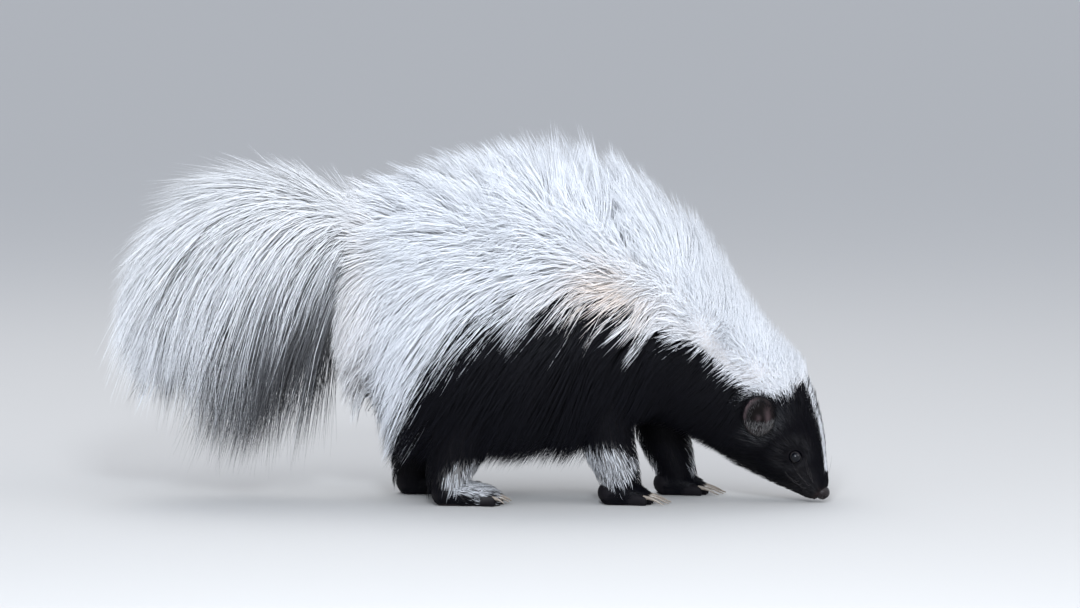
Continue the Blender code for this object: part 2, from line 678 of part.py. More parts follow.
def make_paw(name, heel_x, y, sizes, toe_out, body, helpers):
    """A flat foot: sole, toes and claws in one, cut level at the ground. toe_out is +1 or -1 for its side."""
    length, half, height = sizes["length"], sizes["half"], sizes["height"]
    mid = height * 0.46
    rows = (
        (heel_x, y, mid, height * 0.38, 0.010, half * 0.60, 0, 0, 0),
        (heel_x + 0.004, y, mid, height * 0.52, 0.014, half * 0.86, 0, 0, 0),
        (heel_x + length * 0.5, y, mid, height * 0.54, 0.014, half * 0.98, 0, 0, 0),
        (heel_x + length * 0.95, y, mid * 0.85, height * 0.40, 0.012, half * 1.02, 0, 0, 0),
        (heel_x + length + 0.003, y, mid * 0.75, height * 0.26, 0.010, half * 0.90, 0, 0, 0),
    )
    paw = loft_object(name, Loft(rows, (0, -1, 0)), 0, 4, 5, 8, 0.0, body)
    toes = new_collection("toes")
    for i in range(TOES):
        f = i / (TOES - 1) - 0.5
        heading = Vector((math.cos(f * TOE_SPREAD), -math.sin(f * TOE_SPREAD) * toe_out, 0))
        base = Vector((heel_x + length - 0.002 - 0.008 * abs(f) ** 1.5, y - f * 1.62 * half * toe_out, TOE_RADIUS * 0.9))
        reach = sizes["toe"] * (1 - 0.5 * abs(f) ** 1.6)
        toe_rows = [
            (*(base + heading * reach * g), TOE_RADIUS * r, TOE_RADIUS * 1.1, TOE_RADIUS * r * 0.60, 0, 0, 0)
            for g, r in ((-0.3, 0.9), (0.5, 1.05), (1.05, 0.6))
        ]
        loft_object("toe", Loft(toe_rows, (0, -1, 0)), 0, 2, 3, 6, 0.0, toes)
        root = base + heading * reach * 0.85 + Vector((0, 0, TOE_RADIUS * 0.45))
        claw_rows = []
        for g in (0.0, 0.5, 1.0):
            spot = root + heading * sizes["claw"] * g - Vector((0, 0, sizes["droop"])) * g * g * 0.9
            thick = CLAW_RADIUS * (1 - g) + CLAW_TIP * g
            claw_rows.append((spot.x, spot.y, max(spot.z, 0.0007 + thick), thick * 1.15, thick, thick * 0.8, 0, 0, 0))
        loft_object("claw", Loft(claw_rows, (0, -1, 0)), 0, 2, 3, 4, 0.0, toes)
    unite(paw, toes)
    ground = ball_box("ground_cutter", (heel_x + 0.03, y, -SOLE_CUT / 2), (0.2, 0.1, SOLE_CUT), helpers)
    cut(paw, ground)
    bpy.data.objects.remove(ground)
    return paw


def ball_box(name, centre, size, collection):
    """A box, as a cutter."""
    shape = bmesh.new()
    bmesh.ops.create_cube(shape, size=1.0)
    bmesh.ops.scale(shape, vec=size, verts=shape.verts)
    bmesh.ops.translate(shape, vec=centre, verts=shape.verts)
    mesh = bpy.data.meshes.new(name)
    shape.to_mesh(mesh)
    shape.free()
    made = bpy.data.objects.new(name, mesh)
    collection.objects.link(made)
    made.hide_render = True
    made.display_type = "WIRE"
    return made


def make_leg(name, rows, x, y, paw, body, helpers):
    placed = [(x + row[0], y, row[1], row[2], row[3], row[4], 0, 0, 0) for row in rows]
    leg = loft_object(name, Loft(placed, (0, -1, 0)), 0, len(rows) - 1, 6, 10, 0.0, body)
    clear_of(leg, [paw], helpers)
    return leg


def make_limbs(body, helpers):
    """Both parts of all four limbs. Returns the legs."""
    legs = []
    plan = (
        ("fore", "right", -1, FORELEG, FOREPAW, FORE_RIGHT_X, FORE_HALF_TRACK, -0.006),
        ("fore", "left", 1, FORELEG, FOREPAW, FORE_LEFT_X, FORE_HALF_TRACK, -0.006),
        ("hind", "right", -1, HINDLEG, HINDPAW, HIND_RIGHT_X, HIND_HALF_TRACK, -0.016),
        ("hind", "left", 1, HINDLEG, HINDPAW, HIND_LEFT_X, HIND_HALF_TRACK, -0.016),
    )
    for pair, side, sign, rows, sizes, x, track, heel in plan:
        paw = make_paw(f"{pair}paw_{side}", x + heel, track * sign, sizes, -sign, body, helpers)
        legs.append(make_leg(f"{pair}leg_{side}", rows, x, track * sign, paw, body, helpers))
    return legs


def settle(collection):
    """Moves the animal so that its box is centred on the origin and stands on the ground."""
    bpy.context.view_layer.update()
    spots = np.array([obj.matrix_world @ v.co for obj in collection.objects for v in obj.data.vertices])
    low, high = spots.min(axis=0), spots.max(axis=0)
    move = Matrix.Translation((-(low[0] + high[0]) / 2, -(low[1] + high[1]) / 2, 0.0))
    for obj in collection.objects:
        obj.data.transform(move)


def coated(name, loft, span, rings, around, share, locks, body, helpers):
    """A length of a loft with its locks, and a cutter of the same form that is larger all round by the gap."""
    node = loft_object(name, loft, span[0], span[1], rings, around, share, body)
    cutter = swollen(node, GAP * 1.2, helpers)
    with_locks(node, locks)
    with_locks(cutter, locks, GAP * 1.2)
    return node, cutter


def cut_all(obj, cutters):
    for cutter in cutters:
        cut(obj, cutter)


def main():
    clear_scene()
    body = new_collection("striped_skunk")
    helpers = new_collection("cutters")
    rng = random.Random(SEED)
    trunk = Loft(TRUNK, (0, -1, 0))
    tail = Loft(TAIL, (0, 1, 0))

    head = make_head(body, helpers)
    eyes = make_eyes(body, head, helpers)
    nose = make_nose(body, head, helpers)
    legs = make_limbs(body, helpers)

    ears, ear_seats = make_ears(body, head, helpers)

    torso_locks = trunk_locks(
        trunk, NECK_ROW - 0.45, 0.45, CORE_SHARE, TORSO_ROWS, TORSO_AROUND, TORSO_LOCK, rng
    )
    neck_locks = trunk_locks(
        trunk, 9.7, NECK_ROW + 0.45, NECK_CORE_SHARE, NECK_ROWS, NECK_AROUND, NECK_LOCK, rng
    )
    hair = tail_locks(tail, TAIL_CORE_SHARE, rng)
    torso, torso_cutter = coated("torso", trunk, (0.0, NECK_ROW), 13, 22, CORE_SHARE, torso_locks, body, helpers)
    neck = loft_object("neck", trunk, NECK_ROW - 0.05, HEAD_ROW + 0.15, 6, 20, (CORE_SHARE, NECK_CORE_SHARE), body)
    with_locks(neck, neck_locks)
    bones = loft_object("tail", tail, 0.0, 8.0, 15, 10, TAIL_CORE_SHARE, body)
    clear_of(torso, [*legs, bones], helpers)
    with_locks(bones, hair)
    clear_of(neck, [head, *legs], helpers)
    clear_of(bones, legs, helpers)
    cut_all(neck, [torso_cutter, *ear_seats])
    cut_all(bones, [torso_cutter])
    for cutter in (torso_cutter, *ear_seats):
        bpy.data.objects.remove(cutter)
    settle(body)

    for nodes, name, colour, roughness in (
        ([torso, neck, bones], "white_coat", WHITE, 0.8),
        ([head, *legs, *ears], "black_coat", BLACK, 0.7),
        ([o for o in body.objects if "paw" in o.name], "paws", SKIN, 0.6),
        (eyes, "eyes", EYE, 0.05),
        ([nose], "nose_pad", SKIN, 0.4),
    ):
        for obj in nodes:
            obj.data.materials.clear()
            obj.data.materials.append(material(f"{name}_{obj.name}", colour, roughness))


main()
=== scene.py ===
"""The looks of the striped skunk: one skin under a coat of mesh tufts, with eyes, lids, nose pad and claws.

Sizes are in metres. The shapes are lofts over the same named rows that the solids are built from: oval
rings across a curved axis, each with the reach of the bare body and the depth of the coat over it. The
skin is made of the bare body, and every tuft starts on it and ends at the outer surface of the coat.
"""

import math

import bmesh
import bpy
import numpy as np
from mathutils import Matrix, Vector
from mathutils.kdtree import KDTree


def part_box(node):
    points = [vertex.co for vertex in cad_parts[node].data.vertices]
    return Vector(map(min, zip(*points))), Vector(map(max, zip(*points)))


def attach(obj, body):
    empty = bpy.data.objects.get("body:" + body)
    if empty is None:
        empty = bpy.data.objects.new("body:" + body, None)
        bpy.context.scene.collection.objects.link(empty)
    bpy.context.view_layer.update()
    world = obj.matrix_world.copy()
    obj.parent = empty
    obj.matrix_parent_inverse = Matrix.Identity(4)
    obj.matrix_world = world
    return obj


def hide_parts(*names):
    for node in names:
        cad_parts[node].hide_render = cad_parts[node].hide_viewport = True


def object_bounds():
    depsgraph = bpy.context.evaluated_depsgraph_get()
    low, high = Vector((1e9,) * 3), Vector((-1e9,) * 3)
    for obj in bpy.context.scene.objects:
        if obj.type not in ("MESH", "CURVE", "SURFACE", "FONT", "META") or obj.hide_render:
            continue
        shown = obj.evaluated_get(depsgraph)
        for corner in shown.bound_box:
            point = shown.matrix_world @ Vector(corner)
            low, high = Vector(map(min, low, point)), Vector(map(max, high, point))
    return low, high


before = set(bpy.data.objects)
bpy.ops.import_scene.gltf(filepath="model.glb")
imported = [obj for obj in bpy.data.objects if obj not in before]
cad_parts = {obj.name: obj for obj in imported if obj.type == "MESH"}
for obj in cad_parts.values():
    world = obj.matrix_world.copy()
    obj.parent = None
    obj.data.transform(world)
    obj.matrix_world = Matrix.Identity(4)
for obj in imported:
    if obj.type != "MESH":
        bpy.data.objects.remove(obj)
CAD_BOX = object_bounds()

# Trunk, rump to head. Each row is the centre x, y, z of a ring, the bare body's reach up, down and to
# each side, and the coat's depth up, down and to each side.
TRUNK = (
    (-0.090, 0.000, 0.146, 0.045, 0.016, 0.020, 0.030, 0.024, 0.018),  # behind the pelvis
    (-0.078, 0.000, 0.146, 0.050, 0.032, 0.036, 0.031, 0.034, 0.022),
    (-0.058, 0.000, 0.145, 0.057, 0.054, 0.050, 0.034, 0.058, 0.027),  # rump
    (-0.032, 0.000, 0.142, 0.063, 0.066, 0.059, 0.041, 0.047, 0.029),  # haunches
    (0.000, 0.000, 0.138, 0.070, 0.071, 0.061, 0.047, 0.042, 0.029),  # loins
    (0.040, 0.000, 0.135, 0.071, 0.069, 0.057, 0.054, 0.041, 0.028),  # top of the arched back
    (0.080, 0.000, 0.130, 0.066, 0.062, 0.051, 0.043, 0.038, 0.027),  # ribs
    (0.114, 0.000, 0.119, 0.055, 0.054, 0.045, 0.036, 0.030, 0.025),  # shoulders
    (0.142, -0.001, 0.104, 0.043, 0.044, 0.038, 0.025, 0.025, 0.021),  # base of the neck
    (0.167, -0.003, 0.086, 0.036, 0.037, 0.032, 0.019, 0.021, 0.018),  # middle of the neck
    (0.193, -0.005, 0.0667, 0.033, 0.033, 0.028, 0.016, 0.018, 0.014),  # back of the head
)
NECK_ROW = 7.75  # where the coat of the torso ends and that of the neck begins

# Head: the nose tip, how far the head hangs and turns to its right, and rows counted back from the nose:
# distance back, then reach up, down and to each side, then depth of the short fur up, down and beside.
NOSE_TIP = np.array((0.2372, -0.021, 0.0030))
HEAD_PITCH = math.radians(54)
HEAD_TURN = math.radians(20)
HEAD = (
    (0.080, 0.0330, 0.0330, 0.0280, 0.0080, 0.0170, 0.0075),  # back of the head
    (0.068, 0.0315, 0.0300, 0.0275, 0.0080, 0.0150, 0.0085),  # ears
    (0.056, 0.0295, 0.0265, 0.0260, 0.0060, 0.0135, 0.0070),  # cheeks
    (0.045, 0.0265, 0.0230, 0.0230, 0.0045, 0.0110, 0.0050),  # behind the eyes
    (0.034, 0.0225, 0.0185, 0.0180, 0.0035, 0.0090, 0.0030),  # eyes
    (0.025, 0.0180, 0.0155, 0.0145, 0.0025, 0.0060, 0.0020),  # root of the muzzle
    (0.015, 0.0130, 0.0120, 0.0112, 0.0018, 0.0026, 0.0014),  # muzzle
    (0.007, 0.0090, 0.0085, 0.0088, 0.0010, 0.0012, 0.0010),  # lips
    (0.0025, 0.0052, 0.0054, 0.0060, 0.0004, 0.0005, 0.0004),  # front of the lips
)

# Eyes, ears, mouth and nose pad. Places are back from the nose tip, up and out from the head's axis.
EYE_BACK, EYE_UP, EYE_OUT = 0.0330, 0.0055, 0.0160
EYE_RADIUS = 0.0047
EAR_BACK, EAR_UP, EAR_OUT = 0.0690, 0.0065, 0.0365
EAR_HEIGHT, EAR_WIDTH, EAR_DEPTH = 0.0300, 0.0230, 0.0130
EAR_HALF = np.array((EAR_HEIGHT / 2, EAR_WIDTH / 2, EAR_DEPTH / 2))
EAR_WALL, CUP_DEPTH = 0.0020, 0.0082
MOUTH_CORNER = 0.024
PAD_WIDTH, PAD_HEIGHT, PAD_LENGTH = 0.0122, 0.0098, 0.0100
WHISKER_RADIUS = 0.00011

# Rings of the lids, from the opening outwards and back below the skin: radians past the opening's edge,
# and reach in eye radii.
LID_RINGS = (
    (0.0, 0.985),
    (0.0, 1.025),
    (0.04, 1.045),
    (0.14, 1.050),
    (0.30, 1.00),
    (0.50, 0.91),
    (0.5, 0.80),
    (0.1, 0.90),
)

# Tail, root to the end of its bones. Rows as for the trunk; up is the outer side of its arch.
TAIL = (
    (-0.060, 0.000, 0.164, 0.015, 0.015, 0.016, 0.010, 0.010, 0.010),  # inside the rump
    (-0.091, 0.000, 0.180, 0.015, 0.015, 0.016, 0.030, 0.036, 0.030),  # root
    (-0.121, 0.000, 0.192, 0.013, 0.013, 0.014, 0.026, 0.050, 0.038),
    (-0.150, 0.000, 0.197, 0.012, 0.012, 0.013, 0.028, 0.056, 0.042),  # top of the arch
    (-0.178, 0.000, 0.194, 0.010, 0.010, 0.011, 0.032, 0.056, 0.042),
    (-0.202, 0.000, 0.180, 0.009, 0.009, 0.009, 0.028, 0.050, 0.040),
    (-0.217, 0.000, 0.155, 0.007, 0.007, 0.007, 0.024, 0.046, 0.038),
    (-0.224, 0.000, 0.128, 0.005, 0.005, 0.005, 0.021, 0.040, 0.032),
    (-0.226, 0.000, 0.108, 0.003, 0.003, 0.003, 0.018, 0.030, 0.026),  # end of the bones
)

# Limbs from the body down: centre x, z, then reach forward, back and sideways with the short fur.
FORELEG = (
    (0.000, 0.090, 0.024, 0.024, 0.019),
    (-0.002, 0.066, 0.023, 0.023, 0.019),
    (0.000, 0.044, 0.020, 0.021, 0.018),
    (0.006, 0.026, 0.016, 0.018, 0.016),
    (0.010, 0.012, 0.014, 0.015, 0.015),
)
HINDLEG = (
    (-0.006, 0.096, 0.034, 0.032, 0.022),
    (0.004, 0.070, 0.031, 0.029, 0.021),
    (0.002, 0.046, 0.025, 0.024, 0.019),
    (-0.004, 0.027, 0.019, 0.019, 0.017),
    (-0.006, 0.012, 0.015, 0.016, 0.016),
)
LEG_FUR = 0.0042
FORE_HALF_TRACK, HIND_HALF_TRACK = 0.031, 0.036
FORE_RIGHT_X, FORE_LEFT_X = 0.088, 0.128
HIND_RIGHT_X, HIND_LEFT_X = -0.018, -0.044
FOREPAW = {"length": 0.026, "half": 0.0125, "height": 0.017, "toe": 0.013, "claw": 0.0150, "droop": 0.0060}
HINDPAW = {"length": 0.038, "half": 0.0130, "height": 0.018, "toe": 0.012, "claw": 0.0085, "droop": 0.0035}
PAW_FUR = 0.0014
TOES = 5
TOE_RADIUS, CLAW_RADIUS, CLAW_TIP = 0.0042, 0.0014, 0.00035
TOE_SPREAD = math.radians(34)
LIMBS = (
    ("foreleg_right", "forepaw_right", -1, FORELEG, FOREPAW, FORE_RIGHT_X, FORE_HALF_TRACK, -0.006),
    ("foreleg_left", "forepaw_left", 1, FORELEG, FOREPAW, FORE_LEFT_X, FORE_HALF_TRACK, -0.006),
    ("hindleg_right", "hindpaw_right", -1, HINDLEG, HINDPAW, HIND_RIGHT_X, HIND_HALF_TRACK, -0.016),
    ("hindleg_left", "hindpaw_left", 1, HINDLEG, HINDPAW, HIND_LEFT_X, HIND_HALF_TRACK, -0.016),
)

# Markings: the lower edge of the white mantle on the flank as x and z of the coat's surface, the front
# edge of the white cap on the head as angle from its top and distance back from the nose, and the blaze.
MANTLE_EDGE = (
    (-0.0685, 0.000),
    (-0.0640, 0.016),
    (-0.0580, 0.047),
    (-0.0475, 0.083),
    (-0.0370, 0.106),
    (-0.0240, 0.121),
    (-0.0090, 0.130),
    (0.0120, 0.131),
    (0.0330, 0.141),
    (0.0500, 0.133),
    (0.0680, 0.134),
    (0.0960, 0.1285),
    (0.1240, 0.1200),
    (0.1450, 0.107),
    (0.1660, 0.091),
    (0.1814, 0.078),
    (0.1960, 0.077),
    (0.2150, 0.074),
)
CAP_EDGE = ((0, 0.0700), (27, 0.0675), (45, 0.0650), (58, 0.0700), (72, 0.0770), (90, 0.0840))
BLAZE_HALF, BLAZE_FRONT = 0.0019, 0.0120

# Pale patches above the feet: centre x, y, z, then half length and half height.
LEG_PATCHES = (
    (0.0840, -0.031, 0.0290, 0.0210, 0.0135),  # outside of the right forearm
    (0.1240, 0.031, 0.0290, 0.0210, 0.0135),  # of the left
    (-0.0080, -0.036, 0.0180, 0.0200, 0.0130),  # outside of the right hock
    (-0.0340, 0.036, 0.0180, 0.0200, 0.0130),  # of the left
)

# Length of the tail's hair at places along it, and how far its tips may pass the solids' box.
TAIL_PLACES = (0.6, 1.2, 1.7, 2.2, 3.0, 4.0, 5.0, 6.0, 7.0, 8.0)
TAIL_LENGTHS = (0.090, 0.122, 0.140, 0.150, 0.163, 0.143, 0.104, 0.072, 0.060, 0.055)
TAIL_PAST_BOX = 0.020

# Mesh sizes of the skin's parts before they are joined.
TRUNK_VOXEL, HEAD_VOXEL, LIMB_VOXEL = 0.0024, 0.0008, 0.0013

# Tufts: the seed of all random draws, how many tufts each part has, and the shapes of tufts as rows of
# place along the tuft and share of its width there.
SEED = 7
TUFTS = {"torso": 39000, "neck": 18600, "head": 21000, "ear": 2200, "leg": 3200, "paw": 3600, "tail": 10300}
LONG = ((0.0, 0.75), (0.38, 1.0), (0.72, 0.66))
SHORT = ((0.0, 0.9), (0.55, 0.8))
PLUME = ((0.0, 0.8), (0.25, 1.0), (0.5, 0.9), (0.75, 0.6))
SIDES = 3  # points round each ring of a tuft
SOFT = 0.7  # share of the coat's own facing in that of each tuft, which softens the light on it
SHOWN = 0.85  # how far along a tuft, and how deep in the coat, its colour shows
PATCH_SIZE = 0.003  # width and height of a tuft's patch on the unwrap
PIECE_FACES = 190000  # most triangles in one piece of the coat

# Colours of the hair.
WHITE_ROOT, WHITE_TIP = (0.91, 0.90, 0.90), (0.93, 0.95, 0.985)
# Dull bluish white, for tufts that are dull at random and for painted shade.
WHITE_DULL_AND_SHADE = (0.75, 0.785, 0.86)
WHITE_FLECK, BLACK_FLECK = (0.80, 0.81, 0.84), (0.002, 0.002, 0.003)
CREAM = (0.84, 0.72, 0.64)
BLACK_ROOT, BLACK_TIP = (0.0015, 0.0015, 0.0025), (0.0035, 0.0036, 0.0070)
BROWN = (0.020, 0.014, 0.013)

# The photo's view: its middle, then the camera's distance and height above it, and the width it shows.
VIEW_X, VIEW_Z = 0.040, 0.137
VIEW_DISTANCE, VIEW_RISE, VIEW_WIDTH = 4.0, math.radians(4.5), 0.756

# Lamps: x from the middle of the view, y, z, size, power and colour.
LAMPS = (
    ("key", -0.5, 0.9, 1.9, 1.4, 12.4, (1.0, 0.98, 0.94)),
    ("fill", 0.2, -2.2, 1.5, 2.4, 19.0, (0.93, 0.96, 1.0)),
    ("front", 1.3, -0.5, 0.9, 1.0, 5.0, (1.0, 0.98, 0.95)),
    ("glint", -0.05, -1.5, 0.85, 0.22, 16.0, (0.86, 0.93, 1.0)),
)


def unit(v):
    """The vectors at length 1."""
    return v / np.maximum(np.linalg.norm(v, axis=-1, keepdims=True), 1e-12)


def dot(a, b):
    """Dot products along the last axis, kept as a column."""
    return np.sum(a * b, axis=-1, keepdims=True)


class Loft:
    """Oval rings across a smooth axis. Rows hold centre, reach up, down and sideways, and coat depths."""

    def __init__(self, rows, side_hint):
        self.rows = np.array(rows, float)
        self.hint = np.array(side_hint, float)

    def at(self, t):
        """The rows at places t, on a smooth curve through the rows that goes on straight past its ends."""
        t = np.asarray(t, float)
        last = len(self.rows) - 1
        i = np.clip(np.floor(t).astype(int), 0, last - 1)
        f = np.clip(t - i, 0, 1)[..., None]
        before, start, end, after = (self.rows[np.clip(i + k, 0, last)] for k in (-1, 0, 1, 2))
        bend = f * f * (3 - 2 * f)
        line = start + (end - start) * f
        pull = 0.5 * ((end - before) * (f - 2 * f * f + f**3) + (after - start) * (f**3 - f * f))
        ends = start * (1 - bend) + end * bend
        inner = ((i > 0) & (i < last - 1))[..., None]
        found = np.where(inner, ends + pull, 0.5 * (line + ends + pull))
        low = self.rows[0] + (self.rows[1] - self.rows[0]) * t[..., None]
        high = self.rows[last] + (self.rows[last] - self.rows[last - 1]) * (t[..., None] - last)
        found = np.where((t < 0)[..., None], low, found)
        return np.where((t > last)[..., None], high, found)

    def frame(self, t):
        """Along, up and side unit vectors of the rings at t."""
        along = unit(self.at(t + 0.05)[..., :3] - self.at(t - 0.05)[..., :3])
        side = unit(self.hint - dot(along, self.hint) * along)
        return along, np.cross(side, along), side

    def point(self, t, angle, share=0.0):
        """Points of the rings at t, at an angle from their top, with that share of the coat's depth added."""
        t, angle, share = np.broadcast_arrays(np.asarray(t, float), angle, share)
        row = self.at(t)
        _, up, side = self.frame(t)
        reach = row[..., 3:6] + share[..., None] * row[..., 6:9]
        c, s = np.cos(angle), np.sin(angle)
        rise = c * np.where(c >= 0, reach[..., 0], reach[..., 1])
        return row[..., :3] + up * rise[..., None] + side * (s * reach[..., 2])[..., None]

    def directions(self, t, angle):
        """Outward and backward unit vectors on the bare surface at t and angle."""
        step = 0.02
        ahead = unit(self.point(t + step, angle) - self.point(t - step, angle))
        beside = unit(self.point(t, angle + step) - self.point(t, angle - step))
        out = unit(np.cross(beside, ahead))
        inward = dot(out, self.point(t, angle) - self.at(t)[..., :3]) < 0
        return np.where(inward, -out, out), -ahead

    def coat(self, t, angle):
        """Depth of the coat at t and angle."""
        up, down, side = np.moveaxis(self.at(t)[..., 6:9], -1, 0)
        c, s = np.cos(angle), np.sin(angle)
        return np.hypot(c * np.where(c >= 0, up, down), s * side)

    def row_length(self, t):
        """Length of the axis over one row at t."""
        return np.linalg.norm(self.at(t + 0.5)[..., :3] - self.at(t - 0.5)[..., :3], axis=-1)


def head_axes():
    """Forward, up and right unit vectors of the head."""
    level = math.cos(HEAD_PITCH)
    forward = np.array((level * math.cos(HEAD_TURN), -level * math.sin(HEAD_TURN), -math.sin(HEAD_PITCH)))
    right = np.array((-math.sin(HEAD_TURN), -math.cos(HEAD_TURN), 0.0))
    return forward, np.cross(right, forward), right


def head_place(back, up, right):
    """The point that far back from the nose tip, up, and to the right in the head's own axes."""
    forward, upward, side = head_axes()
    return NOSE_TIP - forward * back + upward * up + side * right


def eye_centre(side):
    """Middle of the eye on the animal's right, side 1, or left, side -1."""
    return head_place(EYE_BACK, EYE_UP, EYE_OUT * side)


def find_shift():
    """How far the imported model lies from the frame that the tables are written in."""
    low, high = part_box("eye_right")
    gap = np.array((low + high) / 2) - eye_centre(1)
    return np.array((gap[0], gap[1], 0.0))


def head_loft():
    """The head's rings, set along its hanging and turned axis."""
    rows = [(*head_place(row[0], 0, 0), *row[1:]) for row in HEAD]
    return Loft(rows, head_axes()[2])


def leg_loft(rows, x, y):
    """A limb with its short fur taken off the reach, and counted as coat instead."""
    bare = [(x + dx, y, z, *(reach - LEG_FUR for reach in reaches)) for dx, z, *reaches in rows]
    return Loft([(*row, LEG_FUR, LEG_FUR, LEG_FUR) for row in bare], (0, -1, 0))


def paw_loft(sizes, heel_x, y):
    """A paw with its short fur on top and beside counted as coat, and none on its sole."""
    length, half, height = sizes["length"], sizes["half"], sizes["height"]
    mid, fur = height * 0.46, PAW_FUR
    rows = [
        (heel_x + ahead, y, mid * low, height * up - fur, down, half * wide - fur, fur, 0, fur)
        for ahead, low, up, down, wide in (
            (0, 1, 0.38, 0.010, 0.60),
            (0.004, 1, 0.52, 0.014, 0.86),
            (length * 0.5, 1, 0.54, 0.014, 0.98),
            (length * 0.95, 0.85, 0.40, 0.012, 1.02),
            (length + 0.003, 0.75, 0.26, 0.010, 0.90),
        )
    ]
    return Loft(rows, (0, -1, 0))


def toe_plan(sizes, heel_x, y, toe_out):
    """Root, heading and reach of each toe of a paw."""
    plan = []
    for i in range(TOES):
        f = i / (TOES - 1) - 0.5
        heading = np.array((math.cos(f * TOE_SPREAD), -math.sin(f * TOE_SPREAD) * toe_out, 0.0))
        back = 0.002 + 0.008 * abs(f) ** 1.5
        beside = f * 1.62 * sizes["half"] * toe_out
        root = np.array((heel_x + sizes["length"] - back, y - beside, TOE_RADIUS * 0.9))
        plan.append((root, heading, sizes["toe"] * (1 - 0.5 * abs(f) ** 1.6)))
    return plan


class Region:
    """A loft's bare surface between two places, with its own cell of the unwrap."""

    def __init__(self, name, loft, span, cell):
        self.name, self.loft, self.span, self.cell = name, loft, span, cell

    def unwrapped(self, t, angle):
        """Places on the unwrap of places t and angle."""
        left, low, width, height = self.cell
        u = left + width * (t - self.span[0]) / (self.span[1] - self.span[0])
        v = low + height * np.mod(angle, 2 * np.pi) / (2 * np.pi)
        return np.stack((u, v), -1)

    def scatter(self, count, rng, weight=None):
        """Places t and angle spread evenly over the surface, or as the weight asks."""
        steps, turns = 80, 96
        t = np.linspace(*self.span, steps + 1)
        a = np.linspace(0, 2 * np.pi, turns + 1)
        grid = self.loft.point(t[:, None], a[None, :])
        ahead, beside = grid[1:, :-1] - grid[:-1, :-1], grid[:-1, 1:] - grid[:-1, :-1]
        area = np.linalg.norm(np.cross(ahead, beside), axis=-1)
        if weight is not None:
            area = area * weight((t[:-1, None] + t[1:, None]) / 2, (a[None, :-1] + a[None, 1:]) / 2)
        chance = np.cumsum(area.ravel() / area.sum())
        cell = np.searchsorted(chance, (np.arange(count) + rng.random(count)) / count)
        i, j = np.divmod(np.minimum(cell, steps * turns - 1), turns)
        return t[i] + rng.random(count) * (t[1] - t[0]), a[j] + rng.random(count) * (a[1] - a[0])


def smooth_noise(points, size, seed):
    """A smooth random value from about -1 to 1 at each point, with features of that size."""
    rng = np.random.default_rng(seed)
    waves = unit(rng.normal(size=(9, 3))) * rng.uniform(0.6, 1.6, (9, 1)) * 2 * np.pi / size
    return np.sin(points @ waves.T + rng.uniform(0, 2 * np.pi, 9)).sum(-1) / 3.0


def step_up(x, low, high):
    """0 below low and 1 above high, with a smooth rise between."""
    f = np.clip((x - low) / (high - low), 0, 1)
    return f * f * (3 - 2 * f)


def step_down(x, low, high):
    """1 below low and 0 above high, with a smooth fall between."""
    return step_up(-x, -high, -low)


def bell(*gaps):
    """1 where all the gaps are 0, falling off smoothly on both sides, to 0.37 at 1."""
    return np.exp(-sum(gap**2 for gap in gaps))


def around(angle, top, side, bottom):
    """A value that goes from top over side to bottom as the angle goes round."""
    c = np.cos(angle)
    return side + (top - side) * np.maximum(c, 0) ** 1.5 + (bottom - side) * np.maximum(-c, 0) ** 1.5


def flat_angle(angle):
    """Angle from the top in degrees, 0 to 180 on both sides."""
    a = np.mod(angle, 2 * np.pi)
    return np.degrees(np.minimum(a, 2 * np.pi - a))


def mantle(spots):
    """How far a point of the coat lies above the lower edge of the white mantle."""
    edge = np.array(MANTLE_EDGE)
    return spots[..., 2] - np.interp(spots[..., 0], edge[:, 0], edge[:, 1])


def head_back(t):
    """Distance back from the nose tip at places t of the head."""
    return np.interp(t, range(len(HEAD)), [row[0] for row in HEAD])


def head_row(back):
    """Place t of the head at a distance back from the nose tip."""
    return np.interp(-back, [-row[0] for row in HEAD], range(len(HEAD)))


def head_white(t, angle):
    """How far a place on the head lies inside the white cap or the blaze."""
    edge = np.array(CAP_EDGE)
    cap = head_back(t) - np.interp(flat_angle(angle), edge[:, 0], edge[:, 1])
    reach = HEAD_LOFT.at(t)[..., 5]
    blaze = BLAZE_HALF - np.abs(np.sin(angle)) * reach
    blaze = np.where((np.cos(angle) > 0) & (head_back(t) > BLAZE_FRONT), blaze, -0.01)
    return np.maximum(cap, blaze * 1.5)


def leg_white(spots):
    """How far a place on the outer side of a leg lies inside the pale patch above the foot."""
    made = np.full(spots.shape[:-1], -0.01)
    for x, y, z, long, high in LEG_PATCHES:
        outside = (spots[..., 1] - y) * np.sign(y) + 0.004
        gap = np.hypot((spots[..., 0] - x) / long, (spots[..., 2] - z) / high)
        made = np.maximum(made, np.minimum((1 - gap) * 0.01, outside))
    return made


